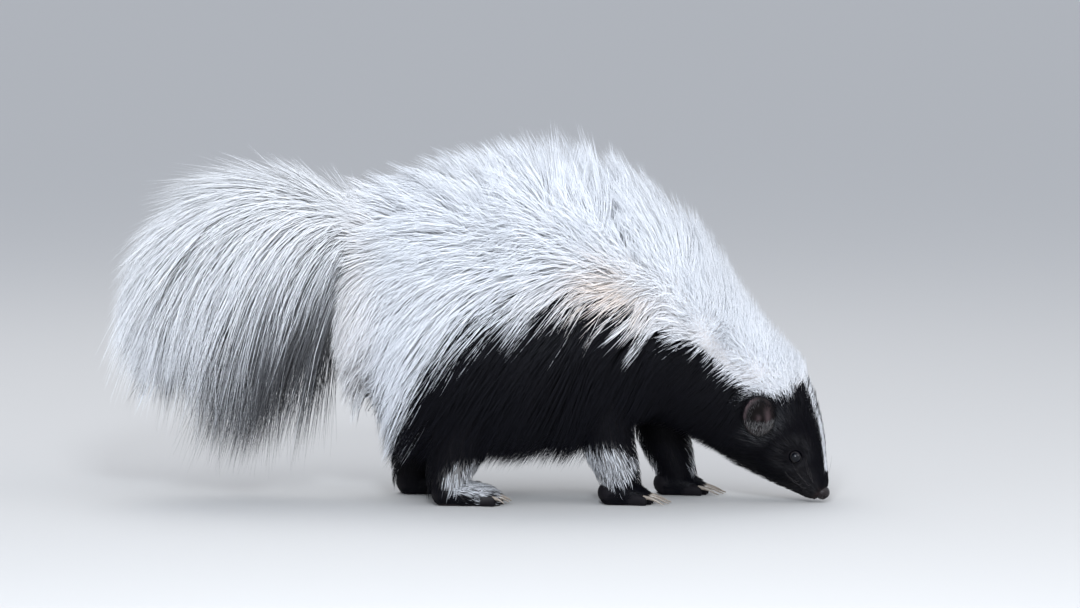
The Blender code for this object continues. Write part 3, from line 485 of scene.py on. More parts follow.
class Shading:
    """The nodes of a material or world. Values may be numbers, colours or the sockets of other nodes."""

    def __init__(self, owner):
        owner.use_nodes = True
        self.owner, self.nodes, self.links = owner, owner.node_tree.nodes, owner.node_tree.links

    def fill(self, socket, value):
        """Links the socket to another node's, or sets its number or colour."""
        if isinstance(value, bpy.types.NodeSocket):
            self.links.new(value, socket)
        else:
            socket.default_value = (*value, 1.0) if isinstance(value, tuple) else value

    def finish(self, **inputs):
        """Fills the inputs of the shader, named with _ for each space, and gives the material."""
        for key, value in inputs.items():
            self.fill(self.nodes["Principled BSDF"].inputs[key.replace("_", " ")], value)
        return self.owner

    def mark(self, name):
        """The value that the mesh's points hold under a name."""
        node = self.nodes.new("ShaderNodeAttribute")
        node.attribute_name = name
        return node.outputs["Fac"]

    def mix(self, factor, first, second):
        """The first colour where the factor is 0, the second where it is 1."""
        node = self.nodes.new("ShaderNodeMix")
        node.data_type = "RGBA"
        for place, value in ((0, factor), (6, first), (7, second)):
            self.fill(node.inputs[place], value)
        return node.outputs[2]

    def spread(self, *values):
        """A value moved from between two numbers to between two others."""
        node = self.nodes.new("ShaderNodeMapRange")
        for place, value in enumerate(values):
            self.fill(node.inputs[place], value)
        return node.outputs["Result"]

    def noise(self, scale, detail=2.0):
        """A fine cloudy pattern fixed to the object."""
        node = self.nodes.new("ShaderNodeTexNoise")
        node.inputs["Scale"].default_value = scale
        node.inputs["Detail"].default_value = detail
        self.links.new(self.nodes.new("ShaderNodeTexCoord").outputs["Object"], node.inputs["Vector"])
        return node.outputs["Fac"]

    def bump(self, height, strength, distance):
        """Facings that make the surface look as high as the pattern."""
        node = self.nodes.new("ShaderNodeBump")
        for key, value in (("Strength", strength), ("Distance", distance), ("Height", height)):
            self.fill(node.inputs[key], value)
        return node.outputs["Normal"]


def coat_material():
    """Hair: white or black by its mark, paler and clearer towards the tips, each tuft a little duller or
    brighter at random; the same mark paints shade and light on some parts.
    """
    made = Shading(bpy.data.materials.new("coat"))
    along, tone_and_painted_light, warm, white = (made.mark(key) for key in ("along", "tone_and_painted_light", "warm", "white"))
    light = made.mix(along, WHITE_ROOT, WHITE_TIP)
    # Low values of the mark mix in the dull bluish white: at random, and as painted shade on the lower body,
    # the hem's locks, the plume's sides and the legs.
    light = made.mix(made.spread(tone_and_painted_light, 0, 0.9, 0.60, 0.0), light, WHITE_DULL_AND_SHADE)
    light = made.mix(warm, light, CREAM)
    dark = made.mix(along, BLACK_ROOT, BLACK_TIP)
    dark = made.mix(made.spread(tone_and_painted_light, 0.55, 1, 0.0, 0.35), dark, BROWN)
    fine = made.spread(made.noise(900.0), 0.35, 0.7, 0.0, 0.20)
    shade = made.mix(white, BLACK_FLECK, WHITE_FLECK)
    return made.finish(
        Base_Color=made.mix(fine, made.mix(white, dark, light), shade),
        Roughness=made.spread(white, 0, 1, 0.42, 0.65),
        Specular_IOR_Level=0.10,
    )


def skin_material():
    """Skin with the markings of the coat, and a short nap."""
    made = Shading(bpy.data.materials.new("skin"))
    white, bare, pink = (made.mark(key) for key in ("white", "bare", "pink"))
    fur = made.mix(white, (0.005, 0.004, 0.006), (0.80, 0.77, 0.76))
    dark = made.mix(made.noise(260.0), (0.003, 0.002, 0.002), (0.012, 0.008, 0.008))
    pale = made.mix(made.noise(420.0), (0.060, 0.040, 0.043), (0.150, 0.105, 0.112))
    return made.finish(
        Base_Color=made.mix(bare, fur, made.mix(pink, dark, pale)),
        Roughness=made.spread(bare, 0, 1, 0.70, 0.58),
        Specular_IOR_Level=0.16,
        Normal=made.bump(made.noise(1400.0, 3.0), 0.5, 0.0004),
    )


def plain_finish(name, first, second, roughness, scale, bump, shine=0.5):
    """A finish with two mixed tones and a fine bump."""
    made = Shading(bpy.data.materials.new(name))
    return made.finish(
        Base_Color=made.mix(made.noise(scale), first, second),
        Roughness=roughness,
        Specular_IOR_Level=shine,
        Normal=made.bump(made.noise(scale * 4, 4.0), bump, 0.0003),
    )


def set_points(mesh, points):
    """Moves the mesh's points."""
    mesh.vertices.foreach_set("co", np.ascontiguousarray(points, np.float32).ravel())
    mesh.update()


def add_unwrap(mesh, uv):
    """Sets the place of each face corner on the unwrap."""
    mesh.uv_layers.new(name="OFBake").data.foreach_set("uv", np.ascontiguousarray(uv, np.float32).ravel())


def add_marks(mesh, marks):
    """Adds a value for each point under each key, which the materials read."""
    for key, values in marks.items():
        made = mesh.attributes.new(key, "FLOAT", "POINT")
        made.data.foreach_set("value", np.ascontiguousarray(values, np.float32))


def mesh_piece(name, points, faces):
    """An object of triangles from arrays."""
    mesh = bpy.data.meshes.new(name)
    mesh.vertices.add(len(points))
    mesh.loops.add(faces.size)
    mesh.loops.foreach_set("vertex_index", faces.astype(np.int32).ravel())
    mesh.polygons.add(len(faces))
    mesh.polygons.foreach_set("loop_start", np.arange(0, faces.size, 3, dtype=np.int32))
    mesh.polygons.foreach_set("use_smooth", np.full(len(faces), True))
    mesh.vertices.foreach_set("co", np.ascontiguousarray(points, np.float32).ravel())
    mesh.update(calc_edges=True)
    made = bpy.data.objects.new(name, mesh)
    bpy.context.scene.collection.objects.link(made)
    return made


def ring_faces(rings, turns, wrap=False):
    """Triangles between neighbouring rings of points, and from the last ring to the first if they wrap."""
    i, j = np.meshgrid(np.arange(rings if wrap else rings - 1), np.arange(turns), indexing="ij")
    a, b = i * turns + j, i * turns + (j + 1) % turns
    c, d = (a + turns) % (rings * turns), (b + turns) % (rings * turns)
    return np.stack((a, c, b, b, c, d), -1).reshape(-1, 3)


def tube(points):
    """Points of a grid of rings as a closed surface: points and triangles."""
    rings, turns = points.shape[:2]
    end = (rings - 1) * turns
    caps = [(0, k, k + 1) for k in range(1, turns - 1)]
    caps += [(end, end + k + 1, end + k) for k in range(1, turns - 1)]
    return points.reshape(-1, 3), np.vstack((ring_faces(rings, turns), np.array(caps)))


def loft_tube(loft, first, last, rings, turns):
    """A loft between two places as a closed surface."""
    t = np.linspace(first, last, rings)[:, None]
    a = np.linspace(0, 2 * np.pi, turns, endpoint=False)[None, :]
    return tube(loft.point(t, a))


def joined(parts):
    """Several surfaces as one list of points and one of triangles."""
    points, faces, count = [], [], 0
    for p, f in parts:
        points.append(p)
        faces.append(f + count)
        count += len(p)
    return np.vstack(points), np.vstack(faces)


def baked(obj):
    """Replaces the object's mesh by what its modifiers make of it."""
    bpy.context.view_layer.update()
    graph = bpy.context.evaluated_depsgraph_get()
    mesh = bpy.data.meshes.new_from_object(obj.evaluated_get(graph))
    obj.modifiers.clear()
    obj.data = mesh
    return obj


def triangulate(obj):
    """Leaves only triangles."""
    obj.modifiers.new("triangles", "TRIANGULATE").min_vertices = 4
    return baked(obj)


def fix_normals(obj):
    """Turns all faces outwards."""
    shape = bmesh.new()
    shape.from_mesh(obj.data)
    bmesh.ops.recalc_face_normals(shape, faces=shape.faces)
    shape.to_mesh(obj.data)
    shape.free()


def remeshed(name, parts, voxel):
    """The outer surface of overlapping closed parts, as one even mesh."""
    obj = mesh_piece(name, *joined(parts))
    fix_normals(obj)
    remesh = obj.modifiers.new("voxels", "REMESH")
    remesh.mode = "VOXEL"
    remesh.voxel_size = voxel
    return triangulate(baked(obj))


def combine(obj, other, operation):
    """Joins the other object to this one, or cuts it out, and removes it."""
    change = obj.modifiers.new("combine", "BOOLEAN")
    change.operation = operation
    change.object = other
    change.solver = "MANIFOLD"
    baked(obj)
    bpy.data.objects.remove(other)


def positions(mesh):
    """The mesh's points as an array."""
    made = np.zeros(len(mesh.vertices) * 3, np.float32)
    mesh.vertices.foreach_get("co", made)
    return made.reshape(-1, 3).astype(float)


def relax(obj, weight, rounds):
    """Smooths the surface where the weight is above 0."""
    mesh = obj.data
    co = positions(mesh)
    edges = np.zeros(len(mesh.edges) * 2, np.int32)
    mesh.edges.foreach_get("vertices", edges)
    a, b = edges.reshape(-1, 2).T
    count = np.bincount(a, minlength=len(co)) + np.bincount(b, minlength=len(co))
    for _ in range(rounds):
        total = np.zeros_like(co)
        for axis in range(3):
            total[:, axis] = np.bincount(a, co[b, axis], len(co)) + np.bincount(b, co[a, axis], len(co))
        co += (total / count[:, None] - co) * weight[:, None] * 0.6
    set_points(mesh, co)


def ear_centre(side):
    """Middle of the ear on the animal's right, side 1, or left, side -1."""
    return head_place(EAR_BACK, EAR_UP, EAR_OUT * side)


def ball(centre, axes, radii, turns=32, rings=16):
    """An ellipsoid as points and triangles."""
    lat = np.linspace(0.001, np.pi - 0.001, rings + 1)[:, None]
    lon = np.linspace(0, 2 * np.pi, turns, endpoint=False)[None, :]
    local = np.stack((np.cos(lat) + 0 * lon, np.sin(lat) * np.cos(lon), np.sin(lat) * np.sin(lon)), -1)
    return tube(np.asarray(centre) + (local * np.asarray(radii)) @ np.asarray(axes))


def ear_axes(side):
    """Unit vectors up along an ear, across it, and out of its cup."""
    forward, upward, right = head_axes()
    tall = unit(upward * 0.62 - forward * 0.74 + right * side * 0.26)
    face = right * side * 0.80 + forward * 0.58 + upward * 0.10
    face = unit(face - tall * face.dot(tall))
    return np.array((tall, np.cross(tall, face), face))


def ear_ahead(side):
    """1 where an ear's across vector points forward, or -1."""
    return 1.0 if ear_axes(side)[1] @ head_axes()[0] > 0 else -1.0


def ear_local(points, side):
    """Places in an ear's own half sizes: up along it, forward across it, and out of its cup."""
    local = (points - ear_centre(side)) @ ear_axes(side).T / EAR_HALF
    return local[..., 0], local[..., 1] * ear_ahead(side), local[..., 2]


def make_head_skin():
    """Skin of the head with its ears hollowed into cups and its eye sockets cut."""
    parts = [loft_tube(HEAD_LOFT, -0.6, 8, 60, 64)]
    for side in (1, -1):
        parts.append(ball(ear_centre(side), ear_axes(side), EAR_HALF))
    head = remeshed("head_skin", parts, HEAD_VOXEL)
    for side in (1, -1):
        axes = ear_axes(side)
        centre = ear_centre(side) + axes[2] * EAR_DEPTH * 0.38 + axes[0] * 0.0008
        radii = (EAR_HALF[0] - EAR_WALL, EAR_HALF[1] - EAR_WALL, CUP_DEPTH)
        combine(head, mesh_piece("hollow", *ball(centre, axes, radii)), "DIFFERENCE")
        socket = ball(eye_centre(side), np.eye(3), (EYE_RADIUS * 1.02,) * 3, 40, 20)
        combine(head, mesh_piece("socket", *socket), "DIFFERENCE")
    return head


def make_limb_skin():
    """Skin of the legs and of the paws with their heels and toes, flat at the ground."""
    parts = []
    for _, _, side, rows, sizes, x, track, heel in LIMBS:
        y = track * side
        parts.append(loft_tube(leg_loft(rows, x, y), 0, len(rows) - 1, 30, 32))
        parts.append(loft_tube(paw_loft(sizes, x + heel, y), 0.9, 4, 24, 32))
        middle = np.array((x + heel + 0.0075, y, sizes["height"] * 0.46))
        parts.append(ball(middle, np.eye(3), (0.0095, sizes["half"] * 0.86, sizes["height"] * 0.52)))
        for root, heading, reach in toe_plan(sizes, x + heel, y, -side):
            toe = []
            for place, size in ((-0.3, 0.85), (0.5, 0.98), (1.05, 0.62)):
                reaches = (TOE_RADIUS * size, TOE_RADIUS * 1.1, TOE_RADIUS * size * 0.66)
                toe.append((*(root + heading * reach * place), *reaches, 0, 0, 0))
            parts.append(loft_tube(Loft(toe, (0, -1, 0)), 0, 2, 10, 16))
    limbs = remeshed("limb_skin", parts, LIMB_VOXEL)
    co = positions(limbs.data)
    co[:, 2] = np.maximum(co[:, 2], 0.0)
    set_points(limbs.data, co)
    return limbs


def mouth_line(side):
    """Points of the line between the lips on one side, from the front to the corner."""
    f = np.linspace(0, 1, 24)
    back = 0.0030 + (MOUTH_CORNER - 0.0030) * f
    angle = np.radians(178 - 66 * np.minimum(1, 2.2 * f) ** 0.8 + 10 * f) * side
    return HEAD_LOFT.point(head_row(back), angle)


def nearest(points, others):
    """Index of and distance to the nearest of the other points, for each point."""
    tree = KDTree(len(others))
    for i, p in enumerate(others):
        tree.insert(p, i)
    tree.balance()
    found = [tree.find(p) for p in points]
    return np.array([f[1] for f in found]), np.array([f[2] for f in found])


def carve_head(skin):
    """Presses in the line of the mouth and raises the lips beside it."""
    co = positions(skin.data)
    close = np.nonzero(np.linalg.norm(co - head_place(0.012, 0, 0), axis=1) < 0.032)[0]
    _, far = nearest(co[close], np.vstack([mouth_line(side) for side in (1, -1)]))
    inward = unit(head_place(0.020, 0, 0) - co[close])
    push = 0.0011 * bell(far / 0.0009) - 0.0004 * bell((far - 0.0020) / 0.0010)
    co[close] += inward * push[:, None]
    set_points(skin.data, co)


def ear_folds(tall, front):
    """Height of the fold at the front of an ear's cup and of the ridge and knob low in it."""
    fold = bell((front - 0.40) / 0.26, (tall + 0.10) / 0.40) * 0.0036
    ridge = bell((tall + 0.50) / 0.24, (front + 0.05) / 0.6) * 0.0032
    knob = bell((tall - 0.02) / 0.15, (front + 0.10) / 0.15) * 0.0020
    return np.maximum(np.maximum(fold, ridge), knob)


def in_cup(tall, front, face):
    """1 for places in an ear's cup, 0 on its back, from their places in the ear's half sizes."""
    wide = tall**2 + front**2
    cup = (EAR_DEPTH * 0.38 - CUP_DEPTH * np.sqrt(np.maximum(0.0, 1 - 1.3 * wide))) / EAR_HALF[2]
    back = -np.sqrt(np.maximum(0.0, 1 - wide))
    return step_up(face - (cup + back) / 2, -0.10, 0.10) * step_down(face, 1.1, 1.3) * (wide < 1.0)


def fold_ears(skin):
    """Raises the folds in each ear's cup."""
    co = positions(skin.data)
    for side in (1, -1):
        tall, front, face = ear_local(co, side)
        inside = step_down(np.hypot(tall, front), 0.80, 0.98) * in_cup(tall, front, face)
        co += ear_axes(side)[2] * (ear_folds(tall, front) * inside)[:, None]
    set_points(skin.data, co)


def region_tables(regions):
    """Points all over the bare surfaces: x, y, z, slopes by t and by angle, region, t and angle."""
    rows = []
    for k, region in enumerate(regions):
        t, a = np.meshgrid(np.linspace(*region.span, 90), np.linspace(0, 2 * np.pi, 120, endpoint=False))
        t, a = t.ravel(), a.ravel()
        point = region.loft.point(t, a)
        by_t = (region.loft.point(t + 0.01, a) - point) / 0.01
        by_a = (region.loft.point(t, a + 0.01) - point) / 0.01
        rows.append(np.column_stack((point, by_t, by_a, np.full(len(t), k), t, a)))
    return np.vstack(rows)


def unwrap_skin(skin, regions, table):
    """The skin's unwrap: each face takes the place of the nearest point of the bare surfaces."""
    corner = np.zeros(len(skin.data.loops), np.int32)
    skin.data.loops.foreach_get("vertex_index", corner)
    corners = positions(skin.data)[corner.reshape(-1, 3)]
    rows = table[nearest(corners.mean(axis=1), table[:, :3])[0]]
    offset = corners - rows[:, None, :3]
    by_t, by_a = rows[:, None, 3:6], rows[:, None, 6:9]
    t = rows[:, None, 10] + np.sum(offset * by_t, -1) / np.maximum(np.sum(by_t * by_t, -1), 1e-9)
    a = rows[:, None, 11] + np.sum(offset * by_a, -1) / np.maximum(np.sum(by_a * by_a, -1), 1e-9)
    uv = np.zeros((len(corners), 3, 2))
    for k, region in enumerate(regions):
        here = rows[:, 9] == k
        left, low, width, height = region.cell
        share_t = (t[here] - region.span[0]) / (region.span[1] - region.span[0])
        uv[here, :, 0] = left + width * np.clip(share_t, -0.01, 1.01)
        uv[here, :, 1] = low + height * np.clip(a[here] / (2 * np.pi), -0.01, 1.01)
    add_unwrap(skin.data, uv)


def white_at(region, t, angle, spots):
    """How far inside the white markings a place is: above 0 is white."""
    if region.name == "head":
        return head_white(t, angle)
    if region.name == "tail":
        return tail_white(t, angle)
    if region.name == "trunk":
        return mantle(spots)
    return leg_white(spots)


def tail_white(t, angle):
    """The tail is white along its top and mixed with black below and towards its end."""
    degrees = flat_angle(angle)
    side = 0.42 - 0.24 * step_up(t, 3.0, 5.5)
    share = 1.0 - side * step_up(degrees, 45, 85) - 0.45 * step_up(degrees, 95, 140)
    return (share - 0.5) * 0.02


def lay_of(t, angle):
    """Where on the coat's surface the outer part of the hair of a place on the trunk shows."""
    lean, sink = trunk_lean(t, angle)
    row = TRUNK_LOFT.at(t)
    coat = TRUNK_LOFT.coat(t, angle)
    girth = np.maximum(row[..., 5] + row[..., 8], 1e-4)
    back = t - SHOWN * lean * coat / TRUNK_LOFT.row_length(t)
    spot = TRUNK_LOFT.point(back, angle + SHOWN * np.sign(np.sin(angle)) * sink * coat / girth, SHOWN)
    spot[..., 2] -= 0.75 * trunk_hang(t, angle)
    return spot


def trunk_lean(t, angle):
    """How far the hair of the trunk leans back, and how far it sinks round the flank, in coat depths."""
    degrees = flat_angle(angle)
    top = np.interp(t, (0, 2, 3.5, 4.6, 5.6, 6.6, 8, 10), (1.30, 1.15, 0.85, 0.45, 0.20, 0.45, 0.70, 0.75))
    side = np.interp(t, (0, 2, 5, 6.3, 7.5, 9), (0.80, 1.10, 1.25, 0.55, 0.20, 0.12))
    low = np.interp(t, (0, 4, 7, 9), (0.30, 0.80, 0.60, 0.25))
    fall = np.interp(t, (0, 3, 6.3, 7.5, 9), (1.70, 1.70, 1.30, 1.05, 0.95))
    curve = 0.30 * step_up(degrees, 10, 60) + 0.70 * step_up(degrees, 55, 105)
    return around(angle, top, side, low), fall * curve * (1 - step_up(degrees, 150, 180))


def trunk_hang(t, angle):
    """How far the tips sag on the lower flank, over the legs, and behind the rump, in metres."""
    degrees = flat_angle(angle)
    skirt = bell((degrees - 122) / 26) * step_up(t, 1.5, 3.0) * step_down(t, 7.4, 8.6)
    rear = step_down(t, 0.6, 2.2) * step_up(degrees, 35, 90) * (1 - step_up(degrees, 100, 150))
    return 0.021 * skirt + 0.022 * rear


def mark_skin(skin, regions, table):
    """Gives the skin's points the markings of the coat that grows on them."""
    co = positions(skin.data)
    rows = table[nearest(co, table[:, :3])[0]]
    white, bare, pink = np.zeros((3, len(co)))
    for k, region in enumerate(regions):
        here = rows[:, 9] == k
        t, a = rows[here, 10], rows[here, 11]
        spots = lay_of(t, a) if region.name == "trunk" else rows[here, :3]
        white[here] = step_up(white_at(region, t, a, spots), -0.003, 0.003)
        if region.name == "head":
            bare[here] = step_down(head_back(t), 0.005, 0.009)
            pink[here] = 0.08 * bare[here]
        if "leg" in region.name:
            white[here] *= 0.25
        if "paw" in region.name:
            white[here] *= 0.08
            bare[here] = step_down(rows[here, 2], 0.0004, 0.0014)
            pink[here] = 0.15
    for side in (1, -1):
        tall, front, face = ear_local(co, side)
        wide = np.hypot(tall, front)
        white *= np.where((wide < 1.02) & (np.abs(face) < 1.4), 0.0, 1.0)
        flat = face - ear_folds(tall, front) / EAR_HALF[2]
        cup = np.maximum(in_cup(tall, front, face), in_cup(tall, front, flat)) > 0.5
        cup |= (wide < 0.80) & (face > -0.75) & (face < 1.3)
        bare = np.where(cup, 1.0, bare)
        # The ear's cup is bare; its pink includes painted rim light along the rim.
        pink = np.where(cup, ear_pink_and_rim_light(tall, front, wide), pink)
    add_marks(skin.data, {"white": white, "bare": bare, "pink": pink})


def ear_pink_and_rim_light(tall, front, wide):
    """How pink the bare skin of an ear is: most at its rim, its fold and its knob, less at its lobe; the
    rim's pink is painted rim light.
    """
    # Painted rim light: a pale pink band round the rear rim of the cup.
    rim = step_up(wide, 0.74, 0.94) * step_down(front, -0.5, 0.1) * 0.9
    rim *= step_up(tall, -0.75, -0.35)
    fold = bell((front - 0.48) / 0.20, (tall - 0.05) / 0.45)
    knob = bell((tall - 0.02) / 0.16, (front + 0.10) / 0.16) * 0.9
    lobe = bell((tall + 0.55) / 0.22) * 0.35
    return np.clip(np.maximum.reduce((rim, fold, knob, lobe)), 0, 1)


def make_skin(regions):
    """One skin over trunk, head, ears, limbs and the tail's core."""
    trunk = [loft_tube(TRUNK_LOFT, 0, 10.2, 80, 64), loft_tube(TAIL_LOFT, 0, 8, 50, 24)]
    skin = remeshed("skin", trunk, TRUNK_VOXEL)
    combine(skin, make_limb_skin(), "UNION")
    combine(skin, make_head_skin(), "UNION")
    triangulate(skin)
    co = positions(skin.data)
    head = np.linalg.norm(co - head_place(0.085, 0, 0), axis=1)
    away = step_up(ear_distance(co), 1.1, 1.5)
    relax(skin, step_down(np.abs(head - 0.030), 0.010, 0.022) * away, 10)
    relax(skin, 0.25 + 0.25 * away, 2)
    fold_ears(skin)
    carve_head(skin)
    table = region_tables(regions)
    unwrap_skin(skin, regions, table)
    mark_skin(skin, regions, table)
    skin.data.polygons.foreach_set("use_smooth", np.full(len(skin.data.polygons), True))
    skin.data.materials.clear()
    skin.data.materials.append(skin_material())
    return skin


def needle_faces(rings):
    """Triangles of one tuft: rings of three points and a tip, with the base closed."""
    base, tip = (rings - 1) * SIDES, rings * SIDES
    end = [(base + j, tip, base + (j + 1) % SIDES) for j in range(SIDES)]
    return np.vstack(((0, 1, 2), ring_faces(rings, SIDES), end))


def needle_patch(rings):
    """Where each corner of one tuft's triangles lies on its patch, from -0.5 to 0.5."""
    faces = needle_faces(rings)
    side, tip = faces % SIDES, faces == rings * SIDES
    turn = np.where(tip, 0, side).max(axis=1, keepdims=True)
    return np.stack((np.where(tip, turn, side) / SIDES - 0.33, faces // SIDES / rings - 0.5), -1)


def curve(root, middle, tip, g):
    """Points at shares g of a curve from the root, past the middle point, to the tip."""
    return root * (1 - g) ** 2 + middle * 2 * g * (1 - g) + tip * g * g


def tufts(name, form, fields, marks, rng):
    """A piece of flat tapered needles. Each bends from its root past its middle point to its tip."""
    root, middle, tip, flat, width, patch = (field[:, None] for field in fields)
    count, rings = len(root), len(form)
    places, shares = np.array(form).T[:, None, :, None]
    centre = curve(root, middle, tip, places)
    ahead = curve(root, middle, tip, np.minimum(places + 0.02, 1.0))
    along = unit(ahead - curve(root, middle, tip, places - 0.02))
    across = unit(np.cross(along, flat))
    third = np.cross(across, along)
    turn = rng.uniform(-0.7, 0.7, (count, 1, 1))
    across, third = across * np.cos(turn) + third * np.sin(turn), third * np.cos(turn) - across * np.sin(turn)
    half = width[:, None] * shares / 2
    corners, facing = [], []
    for j in range(SIDES):
        a = 2 * np.pi * j / SIDES
        way = across * math.cos(a) + third * 0.55 * math.sin(a)
        corners.append(centre + way * half)
        facing.append(unit(unit(way) * (1 - SOFT) + flat * SOFT))
    points = np.concatenate((np.stack(corners, 2).reshape(count, -1, 3), tip), 1)
    normals = np.concatenate((np.stack(facing, 2).reshape(count, -1, 3), flat), 1)
    per = points.shape[1]
    faces = needle_faces(rings) + (np.arange(count) * per)[:, None, None]
    values = {key: np.repeat(value, per) for key, value in marks.items()}
    shade = values.pop("shade", 0)
    values["along"] = np.tile(np.append(np.repeat(places, SIDES), 1.0), count)
    values["white"] = np.clip(values["white"] - shade * (1 - values["along"]) ** 2, 0, 1)
    made = mesh_piece(name, points.reshape(-1, 3), faces.reshape(-1, 3))
    add_unwrap(made.data, patch[:, None] + needle_patch(rings) * PATCH_SIZE)
    add_marks(made.data, values)
    made.data.normals_split_custom_set_from_vertices(normals.reshape(-1, 3).tolist())
    made.data.materials.append(COAT)
    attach(made, "root")


def split_tufts(name, form, fields, marks, rng):
    """Tufts in as many pieces as keep each one light, numbered from 1."""
    count = len(fields[0])
    pieces = math.ceil(count / (PIECE_FACES // len(needle_faces(len(form)))))
    for k in range(pieces):
        part = slice(k * count // pieces, (k + 1) * count // pieces)
        marks_here = {key: values[part] for key, values in marks.items()}
        tufts(f"{name}_{k + 1}", form, [field[part] for field in fields], marks_here, rng)


def gathered(tip, root, clumps, pull, rng):
    """Draws the tips of neighbouring tufts together into wisps. Gives also a random number for each wisp."""
    centres = rng.choice(len(root), clumps, replace=False)
    group, _ = nearest(root, root[centres])
    lead = tip[centres][group] + (root - root[centres][group]) * 0.25
    return tip + (lead - tip) * pull[:, None], rng.normal(0, 1, group.max() + 1)[group]


def bent(root, tip, out, lift, flat):
    """The middle point that makes short fur rise a little from the skin before it lies down."""
    rise = dot(tip - root, out)
    return root + out * (rise * 0.8 + lift) + (tip - root - out * rise) * flat


def ear_distance(points):
    """How far points are from the nearer ear, where 1 is just outside it."""
    gaps = ((points - ear_centre(side)) @ ear_axes(side).T / EAR_HALF for side in (1, -1))
    return np.minimum(*(np.linalg.norm(gap, axis=1) for gap in gaps))


def trunk_density(t, angle):
    """Hair grows a little thicker on the back, and much thicker under the rump."""
    return 1.0 + 0.15 * np.cos(angle) + 0.9 * step_down(t, 0.6, 1.6) * step_down(np.cos(angle), -0.5, 0.0)


def at_rump(t):
    """1 at the rear end of the trunk, 0 ahead of the rump."""
    return step_down(t, 0.9, 2.6)


def trunk_lie(t, a, hem, clump, rng):
    """Root, middle, tip and facing of the trunk's tufts, and a random number for each wisp."""
    loft, count, degrees = TRUNK_LOFT, len(t), flat_angle(a)
    row, coat = loft.at(t), loft.coat(t, a)
    under = rng.random(count) ** 0.5
    share = 0.38 + 0.66 * under
    root = loft.point(t, a)
    out, behind = loft.directions(t, a)
    lean, sink = trunk_lean(t, a)
    lean = lean * rng.uniform(0.65, 1.35, count) + smooth_noise(root, 0.030, 11) * 0.25
    sink = sink * rng.uniform(0.60, 1.40, count)
    side = smooth_noise(root, 0.028, 12) * 0.06 + rng.normal(0, 0.08, count)
    turned = a + np.sign(np.sin(a)) * sink * coat / (row[:, 5] + 0.5 * row[:, 8]) + side
    tip = loft.point(np.maximum(t - lean * coat / loft.row_length(t), -1.0), turned, share)

    beside = step_up(degrees, 45, 85)
    straight = root + out * (coat * share * (1 - 0.35 * beside))[:, None]
    stray = unit(rng.normal(size=(count, 3))) * 0.003
    straight += behind * (lean * coat * (0.8 - 0.2 * beside))[:, None] + stray
    straight[:, 2] -= coat * beside * rng.uniform(0.7, 1.2, count)
    ends = at_rump(t)[:, None]
    tip = tip * (1 - ends) + straight * ends
    hang = trunk_hang(t, a) * under
    tip += hang[:, None] * np.array((0.0, 0.0, -1.0)) + behind * (hang * 0.15)[:, None]
    tip[:, 2] = np.maximum(tip[:, 2], 0.021 + 0.02 * (1 - under))

    crest = step_down(degrees, 25, 62) * step_up(t, 0.8, 2.0) * (1 - 0.85 * step_up(t, 6.2, 8.0))
    pull = np.clip(rng.uniform(0.0, 0.32, count) + 0.55 * np.maximum(crest, hem), 0, 0.92)
    tip, wisp = gathered(tip, root, count // clump, pull, rng)
    tip += out * (np.minimum(np.abs(wisp), 1.7) * 0.0055 * crest * under)[:, None]
    flatly = (tip - root) - out * dot(tip - root, out)
    middle = root + out * (coat * share * rng.uniform(0.50, 0.80, count))[:, None] + flatly * 0.30
    short = (1 - 0.30 * step_up(t, 7.4, 8.4) * step_up(degrees, 35, 75))[:, None]
    beyond = np.column_stack((np.zeros(count), np.sign(np.sin(a)) * -1.0, np.full(count, 0.45)))
    facing = unit(out + beyond * (1.1 * ends + 0.35 * step_up(degrees, 80, 110)[:, None]))
    return root, root + (middle - root) * short, root + (tip - root) * short, facing, wisp


def trunk_marks(t, a, root, tip, spots, hem, wisp, rng):
    """White or black of the trunk's tufts, how dull or bright each is, with painted shade low on the body and
    painted light on the rump, their warmth and the shade of their roots.
    """
    count, degrees, rump = len(t), flat_angle(a), at_rump(t)
    above, ahead = mantle(spots), spots[:, 0] - SHIFT[0]
    crisp = 1 - 0.6 * step_up(t, 7.0, 8.5)
    ragged = wisp * 0.0042 + rng.normal(0, 1, count) * 0.0028 + smooth_noise(spots, 0.018, 3) * 0.002
    ragged *= crisp
    loose = 1 - step_up(ahead, 0.040, 0.085)
    ragged *= 1 + 0.8 * loose + 0.6 * step_down(ahead, -0.03, 0.02)
    white = (above + ragged > 0).astype(float)
    elbow = (leg_white(tip) + wisp * 0.0012 > 0) & (white < 0.5) & (tip[:, 0] > SHIFT[0] + 0.062)
    elbow &= root[:, 2] < 0.092
    white = np.where(elbow, rng.uniform(0.1, 0.9, count), white)
    stray = rng.random(count) < 0.004 * crisp
    white = np.where((white < 0.5) & stray & (above > -0.028), 0.16, white)
    whorl = bell((ahead - 0.079) / 0.028, (spots[:, 2] - 0.150) / 0.021)
    seam = bell((above - 0.012) / 0.012) * step_up(ahead, -0.02, 0.04)
    under = rump * step_up(degrees, 105, 135)
    # Painted shade: white hair low on the body is made duller and bluer, except under the rump.
    low = step_down(spots[:, 2], 0.06, 0.14) * (1 - under)
    # Dark roots: the black under the white locks at the hem, and painted shade between the streaks under the
    # rump.
    deep = np.maximum(0.7 * hem * loose, 0.9 * under) * rng.random(count)
    painted_shade = np.maximum(0.5 * low, 0.5 * hem * loose)
    return {
        "white": white,
        # Painted light: the rump's hair is brightened; painted shade dulls it low on the body and at the hem.
        "tone_and_painted_light": np.clip(0.5 * rng.random(count) + 0.4 * rump - painted_shade, 0, 1),
        "warm": np.clip((0.85 * whorl + 0.18 * seam + 0.22 * rump) * rng.uniform(0.5, 1.5, count), 0, 1),
        "shade": np.where(elbow, 1.8, deep),
    }


